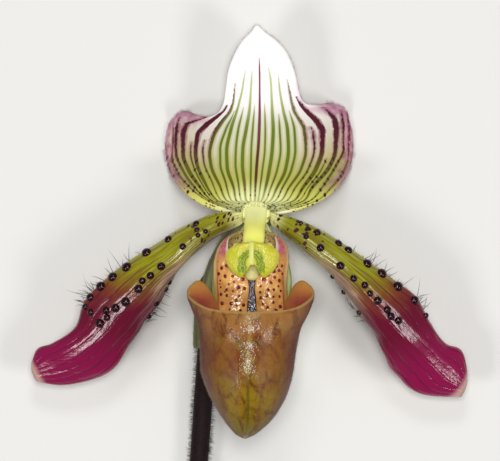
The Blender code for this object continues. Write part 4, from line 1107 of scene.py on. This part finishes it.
def edge_distances(grid):
    """Millimetres along the sheet from every grid point to the nearest free edge, to the base and to the first
    column."""
    across, along = (np.linalg.norm(np.diff(grid, axis=axis), axis=-1) for axis in (1, 0))
    from_left = np.concatenate([np.zeros((grid.shape[0], 1)), np.cumsum(across, axis=1)], axis=1)
    from_base = np.concatenate([np.zeros((1, grid.shape[1])), np.cumsum(along, axis=0)], axis=0)
    sideways = np.minimum(from_left, from_left[:, -1:] - from_left)
    return np.minimum(sideways, from_base[-1:] - from_base), from_base, from_left


class ORCHID_OT_dorsal_sepal(bpy.types.Operator):
    """Adds the dorsal sepal and the fine hairs on its edge"""
    bl_idname = "orchid.dorsal_sepal"
    bl_label = "Dorsal sepal"

    def execute(self, context):
        sizes, colours = context.scene.orchid_sizes, context.scene.orchid_colours
        thickness = sizes.blade / MM
        grid = dorsal_grid(140, 221, thickness)
        rim, along, _ = edge_distances(grid)
        made = sheet("dorsal_sepal_skin", grid, thickness, {**vein_values(grid), "rim": rim, "along": along}, 0.3)
        dress(made, dorsal_paint(colours), "dorsal_sepal")
        random = np.random.default_rng(SEED)
        fine = dorsal_grid(300, 501, thickness)
        lines = (fine[20:-1, 0], fine[20:-1, -1], fine[-1])
        edge = np.concatenate(lines)
        gap = np.concatenate([np.linalg.norm(np.gradient(line, axis=0), axis=-1) for line in lines])
        inward = np.concatenate([fine[20:-1, 4], fine[20:-1, -5], fine[-6]])
        out = unit(edge - inward)
        pick = random.choice(len(edge), MARGIN_HAIRS, p=gap / gap.sum())
        out = unit(out[pick] + random.normal(0, 0.25, (len(pick), 3)))
        lengths = sizes.margin_hair / MM * random.uniform(0.5, 1.2, len(pick))
        roots = edge[pick]
        out[:, 2] = np.where(roots[:, 2] < NEAR_TABLE_Z, np.abs(out[:, 2]), out[:, 2])
        made = hairs("dorsal_sepal_hairs", roots, out, lengths, 0.06)
        dress(made, plain_paint("pale_hair", (206, 186, 190)))
        return {"FINISHED"}


class ORCHID_OT_petals(bpy.types.Operator):
    """Adds both petals with their warts and hairs"""
    bl_idname = "orchid.petals"
    bl_label = "Petals"

    def execute(self, context):
        sizes, colours = context.scene.orchid_sizes, context.scene.orchid_colours
        thickness = sizes.blade / MM
        sides = (("left", LEFT_UPPER, LEFT_RIB, LEFT_LOWER, LEFT_WARTS),
                 ("right", RIGHT_UPPER, RIGHT_RIB, RIGHT_LOWER, RIGHT_WARTS))
        dark = plain_paint("wart", (38, 4, 14), 0.09)
        black = plain_paint("black_hair", (16, 6, 9), 0.4)
        pale = plain_paint("petal_hair", (190, 160, 130))
        for side, upper, rib, lower, warts in sides:
            name = "petal_" + side
            random = np.random.default_rng(SEED + len(side))
            grid, s, t = petal_grid(upper, rib, lower, 200, 66)
            if side == "right":
                grid, s, t = grid[:, ::-1], s[:, ::-1], t[:, ::-1]
            _, along, across = edge_distances(grid)
            made = sheet(name + "_skin", grid, thickness, {"s": s, "t": t, "along": along, "across": across})
            dress(made, petal_paint(name, colours), name)
            normals = grid_normals(grid)
            places = np.array(warts)
            centres, facing = nearest_on(grid + normals * thickness * 0.45, normals, places[:, 0], places[:, 1])
            dress(domes(name + "_warts", centres, facing, places[:, 2] * WART_WIDENING), dark)
            for made, paint in zip(self.edge_hairs(name, grid, s, centres, random, sizes), (black, pale)):
                dress(made, paint)
        return {"FINISHED"}

    def edge_hairs(self, name, grid, s, centres, random, sizes):
        """Long dark hairs in tufts by the warts and short pale ones along both edges."""
        long_ones, short_ones = [], []
        for column in (0, -1):
            edge = grid[:, column]
            out = unit(edge - grid[:, 4 if column == 0 else -5])
            share = s[:, column]
            near = np.min(np.linalg.norm(edge[:, None] - centres[None], axis=-1), axis=1)
            tufts = np.exp(-((near / 1.6) ** 2)) * ramp(share, 0.3, 0.5) * ramp(share, 0.86, 0.7)
            even = ramp(share, 0.1, 0.3) * ramp(share, 0.97, 0.8)
            for group, weight, count, span in ((long_ones, tufts, LONG_HAIRS, (0.4, 1.1)),
                                               (short_ones, even, SHORT_HAIRS, (0.3, 1.0))):
                weight = weight + 1e-6
                pick = random.choice(len(edge), count, p=weight / weight.sum())
                group.append((edge[pick], out[pick], random.uniform(*span, count)))
        made = []
        for kind, group, length, width in (("long", long_ones, sizes.wart_hair / MM, 0.16),
                                           ("short", short_ones, 0.7, 0.05)):
            roots, out, lengths = (np.concatenate([entry[i] for entry in group]) for i in range(3))
            out = out + random.normal(0, 0.3, out.shape)
            made.append(hairs(name + "_" + kind + "_hairs", roots, out, lengths * length, width, (0, 0, 0.1)))
        return made


class ORCHID_OT_lip(bpy.types.Operator):
    """Adds the pouch with its ears, side lobes, warts and fuzz"""
    bl_idname = "orchid.lip"
    bl_label = "Lip"

    def execute(self, context):
        sizes, colours = context.scene.orchid_sizes, context.scene.orchid_colours
        shell, outer, normal = lip_shell("lip_pouch", sizes.lip_wall / MM)
        dress(shell, lip_paint(colours), "lip")
        paint = lobe_paint()
        dark = plain_paint("lobe_wart", (116, 26, 26), 0.14)
        random = np.random.default_rng(SEED + 20)
        for side, name in ((-1, "left"), (1, "right")):
            grid = lobe_grid(side, 80, 44)
            u = np.linspace(0, 1, 44)[None, :] + 0 * grid[..., 0]
            if side == 1:
                grid, u = grid[:, ::-1], u[:, ::-1]
            made = sheet("lip_lobe_" + name, grid, 0.8, {"u": u}, 0.5)
            dress(made, paint)
            normals = grid_normals(grid)
            inside = (u > 0.12) & (u < 0.86) & (grid[..., 1] < -11) & (grid[..., 1] > -23.6)
            places, facing = grid[inside], normals[inside]
            chosen = []
            for i in random.permutation(len(places)):
                if all(np.linalg.norm(places[i] - places[j]) > LOBE_WART_GAP for j in chosen):
                    chosen.append(i)
                if len(chosen) == LOBE_WARTS:
                    break
            centres = places[chosen] + facing[chosen] * 0.38
            radii = random.uniform(0.26, 0.46, len(chosen))
            dress(domes("lip_lobe_warts_" + name, centres, facing[chosen], radii, 0.4), dark)
        dress(sheet("lip_slit_floor", slit_floor_grid(120, 30), 0.5), slit_paint())
        rows, columns = outer.shape[:2]
        r = ((rows - 1) * np.sqrt(random.uniform(0.002, 0.99, FUZZ_HAIRS))).astype(int)
        c = random.integers(0, columns, FUZZ_HAIRS)
        front, facing = outer[r, c], normal[r, c]
        lean = unit(facing + random.normal(0, 0.25, facing.shape))
        made = hairs("lip_fuzz", front, lean, random.uniform(0.2, 0.42, len(front)), 0.035)
        dress(made, plain_paint("fuzz", (176, 140, 104), 0.4))
        return {"FINISHED"}


class ORCHID_OT_middle(bpy.types.Operator):
    """Adds the column with its stigma, the shield and the pollen masses"""
    bl_idname = "orchid.middle"
    bl_label = "Column and shield"

    def execute(self, context):
        colours = context.scene.orchid_colours
        stalk = oval_tube("column_stalk", COLUMN_PATH, COLUMN_HALF_WIDTH, COLUMN_HALF_DEPTH, 48, 0.5)
        stigma = oval_tube("stigma", STIGMA_PATH, STIGMA_HALF_WIDTH, STIGMA_HALF_DEPTH, 40, 0.9)
        paint = column_paint()
        collar = ellipsoid("receptacle_collar", (-0.1, 0.2, 0.9), (3.4, 2.9, 1.3))
        dress(collar, paint)
        dress(stalk, paint, "column")
        dress(stigma, paint)
        dress(staminode_solid("staminode_shield"), staminode_paint(colours), "staminode")
        random = np.random.default_rng(SEED + 30)
        turn = random.uniform(0, 2 * np.pi, COLLAR_HAIRS)
        rise = random.uniform(0.2, 0.9, COLLAR_HAIRS)
        out = np.stack([np.cos(turn), 0.6 * np.sin(turn) + 0.1, rise], axis=-1)
        roots = (0, 0.1, 1) + out * (3.4, 2.2, 1)
        made = hairs("receptacle_hairs", roots, out, random.uniform(0.8, 2.4, COLLAR_HAIRS), 0.06, curl=0.45)
        dress(made, plain_paint("receptacle_hair", (84, 66, 40)))
        paint = pollen_paint()
        for name in ("pollinium_left", "pollinium_right"):
            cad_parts[name].material_slots[0].material = paint
        return {"FINISHED"}


class ORCHID_OT_back(bpy.types.Operator):
    """Adds the synsepal, the ovary, the bract and the stem with their hairs"""
    bl_idname = "orchid.back"
    bl_label = "Synsepal, ovary and stem"

    def execute(self, context):
        sizes, colours = context.scene.orchid_sizes, context.scene.orchid_colours
        random = np.random.default_rng(SEED + 40)
        grid, q = synsepal_grid(90, 60)
        dress(sheet("synsepal_skin", grid, sizes.blade / MM, {"q": q}), synsepal_paint(), "synsepal")

        s = np.linspace(0, 1, 120)
        path = smooth(s, steps(OVARY_PATH), OVARY_PATH)
        angle = np.linspace(0, 2 * np.pi, 72, endpoint=False)[None, :]
        fading = (ramp(s, 0.05, 0.2) * (1 - ramp(s, 0.8, 0.95)))[:, None]
        wave = np.cos(OVARY_RIBS * angle)
        radii = smooth(s, steps(OVARY_RADIUS), OVARY_RADIUS)[:, None] + OVARY_RIB_HEIGHT * wave * fading
        made = tube("ovary_body", path, radii, {"ridge": wave * fading * 0.5 + 0.5})
        dress(made, ovary_paint(), "ovary")
        rings = rings_along(path, radii)
        rows, columns = random.integers(4, 100, OVARY_HAIRS), random.integers(0, 72, OVARY_HAIRS)
        roots = rings[rows, columns]
        out = unit(roots - path[rows])
        made = hairs("ovary_hairs", roots, out + random.normal(0, 0.2, out.shape),
                     random.uniform(0.25, 0.6, len(roots)), 0.05)
        dress(made, plain_paint("ovary_hair", (120, 96, 88)))

        path = stem_point(np.linspace(STEM_END_Y, STEM_TOP[1], 120))
        swell = 1 + 0.02 * np.sin(np.linspace(0, 9, 120))[:, None]
        radii = STEM_RADIUS * swell * np.ones(48) * 0.985
        made = tube("scape_stalk", path, radii, round_ends=0.12)
        dress(made, stem_paint(colours), "scape")
        rings = rings_along(path, radii)
        count = sizes.stem_hairs
        rows, columns = random.integers(1, 118, count), random.integers(0, 48, count)
        roots = rings[rows, columns]
        out = unit(unit(roots - path[rows]) + random.normal(0, 0.28, roots.shape))
        lengths = sizes.stem_hair / MM * random.uniform(0.45, 1.25, count)
        over = (roots + out * lengths[:, None])[:, 2] > 0.25 - BASE_POINT[2]
        made = hairs("scape_hairs", roots[over], out[over], lengths[over], 0.07, curl=0.15)
        # The hairs' dark brown, darkened as painted shade
        dress(made, plain_paint("stem_hair", (40, 24, 26)))
        self.bract(random)
        return {"FINISHED"}

    def bract(self, random):
        """An arc of a ring round the foot of the ovary, whose angle closes towards its tip."""
        s = np.linspace(0, 1, 80)
        y = STEM_TOP[1] - 2.0 + 17.0 * s
        share = np.linspace(0, 1, 40)
        line = smooth(share, steps(OVARY_PATH), OVARY_PATH)[:20]
        middle = np.stack([np.interp(y, line[:, 1], line[:, 0]), y, np.interp(y, line[:, 1], line[:, 2])], axis=-1)
        spread = np.radians(smooth(s, [0, 0.3, 0.7, 0.92, 1], [125, 115, 75, 30, 8]))[:, None]
        t = np.linspace(-1, 1, 50)[None, :]
        turn = spread * t - np.pi / 2 - 0.5
        reach = smooth(np.interp(y, line[:, 1], share[:20]), steps(OVARY_RADIUS), OVARY_RADIUS)
        radius = (np.maximum(reach + OVARY_RIB_HEIGHT, STEM_RADIUS) + BRACT_GAP + BRACT_HALF)[:, None]
        grid = middle[:, None] + np.stack([radius * np.cos(turn), 0 * turn, radius * np.sin(turn)], axis=-1)
        grid = grid[:, ::-1]
        dress(sheet("bract_sheath", grid, 2 * BRACT_HALF, {"t": t + 0 * turn}, 0.4), bract_paint(), "bract")
        normals = grid_normals(grid)
        rows, columns = random.integers(2, 78, BRACT_HAIRS), random.integers(1, 49, BRACT_HAIRS)
        roots, out = grid[rows, columns] + normals[rows, columns] * 0.3, normals[rows, columns]
        over = (roots + out)[:, 2] > 0.3 - BASE_POINT[2]
        made = hairs("bract_hairs", roots[over], out[over] + random.normal(0, 0.25, (over.sum(), 3)),
                     random.uniform(0.3, 0.7, over.sum()), 0.05)
        dress(made, plain_paint("bract_hair", (150, 150, 110)))


# The stage, in metres; the camera's numbers are millimetres, and its view is centred beside the base point

FLOOR_HALF, FLOOR_Z = 1.5, -0.0002
WORLD_STRENGTH = 0.16
LAMPS = (("key", (0.01, 0.06, 0.95), 0.18, 4.6), ("fill_top", (0, 0.55, 0.82), 0.2, 1.4),
         ("fill_left", (-0.56, -0.33, 0.76), 0.25, 2.6), ("fill_right", (0.62, -0.28, 0.74), 0.25, 2.4))
SENSOR_WIDTH, VIEW_WIDTH, CAMERA_DISTANCE = 36, 110, 1000
VIEW_CENTRE = (-1.32, -3.41)


class ORCHID_OT_stage(bpy.types.Operator):
    """Adds the table top, the lights and the camera"""
    bl_idname = "orchid.stage"
    bl_label = "Stage"

    def execute(self, context):
        colours = context.scene.orchid_colours
        mesh = bpy.data.meshes.new("floor")
        corners = [(x * FLOOR_HALF, y * FLOOR_HALF, FLOOR_Z) for x, y in ((-1, -1), (1, -1), (1, 1), (-1, 1))]
        mesh.from_pydata(corners, [], [(0, 1, 2, 3)])
        floor = self.link(context, "floor", mesh)
        paint = bpy.data.materials.new("floor")
        paint.use_nodes = True
        shader = paint.node_tree.nodes["Principled BSDF"]
        shader.inputs["Base Color"].default_value = colours.floor
        shader.inputs["Roughness"].default_value = 0.75
        mesh.materials.append(paint)

        world = bpy.data.worlds.new("studio")
        context.scene.world = world
        world.use_nodes = True
        background = world.node_tree.nodes["Background"]
        background.inputs["Color"].default_value = (0.95, 0.97, 1.0, 1)
        background.inputs["Strength"].default_value = WORLD_STRENGTH

        aim = Vector(BASE_POINT * MM) + Vector((-0.001, -0.012, 0))
        for name, place, size, power in LAMPS:
            light = bpy.data.lights.new(name, "AREA")
            light.size, light.energy = size, power
            made = self.link(context, name, light, place)
            made.rotation_mode = "QUATERNION"
            made.rotation_quaternion = (Vector(place) - aim).to_track_quat("Z", "Y")

        camera = bpy.data.cameras.new("camera")
        camera.lens = SENSOR_WIDTH * CAMERA_DISTANCE / VIEW_WIDTH
        camera.clip_start, camera.clip_end = 0.05, 10
        place = (BASE_POINT + (*VIEW_CENTRE, CAMERA_DISTANCE)) * MM
        context.scene.camera = self.link(context, "camera", camera, place)
        context.scene.view_settings.view_transform = "Standard"
        return {"FINISHED"}

    def link(self, context, name, data, place=(0, 0, 0)):
        made = bpy.data.objects.new(name, data)
        context.scene.collection.objects.link(made)
        made.location = place
        return made


class ORCHID_PT_panel(bpy.types.Panel):
    """Sizes, colours and one button for each piece"""
    bl_label = "Slipper orchid"
    bl_idname = "ORCHID_PT_panel"
    bl_space_type = "VIEW_3D"
    bl_region_type = "UI"
    bl_category = "Orchid"

    def draw(self, context):
        for group in (context.scene.orchid_sizes, context.scene.orchid_colours):
            box = self.layout.box()
            for key in group.__annotations__:
                box.prop(group, key)
        for kind in OPERATORS:
            self.layout.operator(kind.bl_idname)


OPERATORS = (ORCHID_OT_dorsal_sepal, ORCHID_OT_petals, ORCHID_OT_lip, ORCHID_OT_middle, ORCHID_OT_back,
             ORCHID_OT_stage)
CLASSES = (OrchidSizes, OrchidColours, *OPERATORS, ORCHID_PT_panel)


def register():
    for kind in CLASSES:
        bpy.utils.register_class(kind)
    bpy.types.Scene.orchid_sizes = PointerProperty(type=OrchidSizes)
    bpy.types.Scene.orchid_colours = PointerProperty(type=OrchidColours)


def unregister():
    del bpy.types.Scene.orchid_sizes
    del bpy.types.Scene.orchid_colours
    for kind in reversed(CLASSES):
        bpy.utils.unregister_class(kind)


def main():
    register()
    bpy.ops.orchid.stage()
    bpy.ops.orchid.dorsal_sepal()
    bpy.ops.orchid.petals()
    bpy.ops.orchid.lip()
    bpy.ops.orchid.middle()
    bpy.ops.orchid.back()


if __name__ == "__main__":
    main()
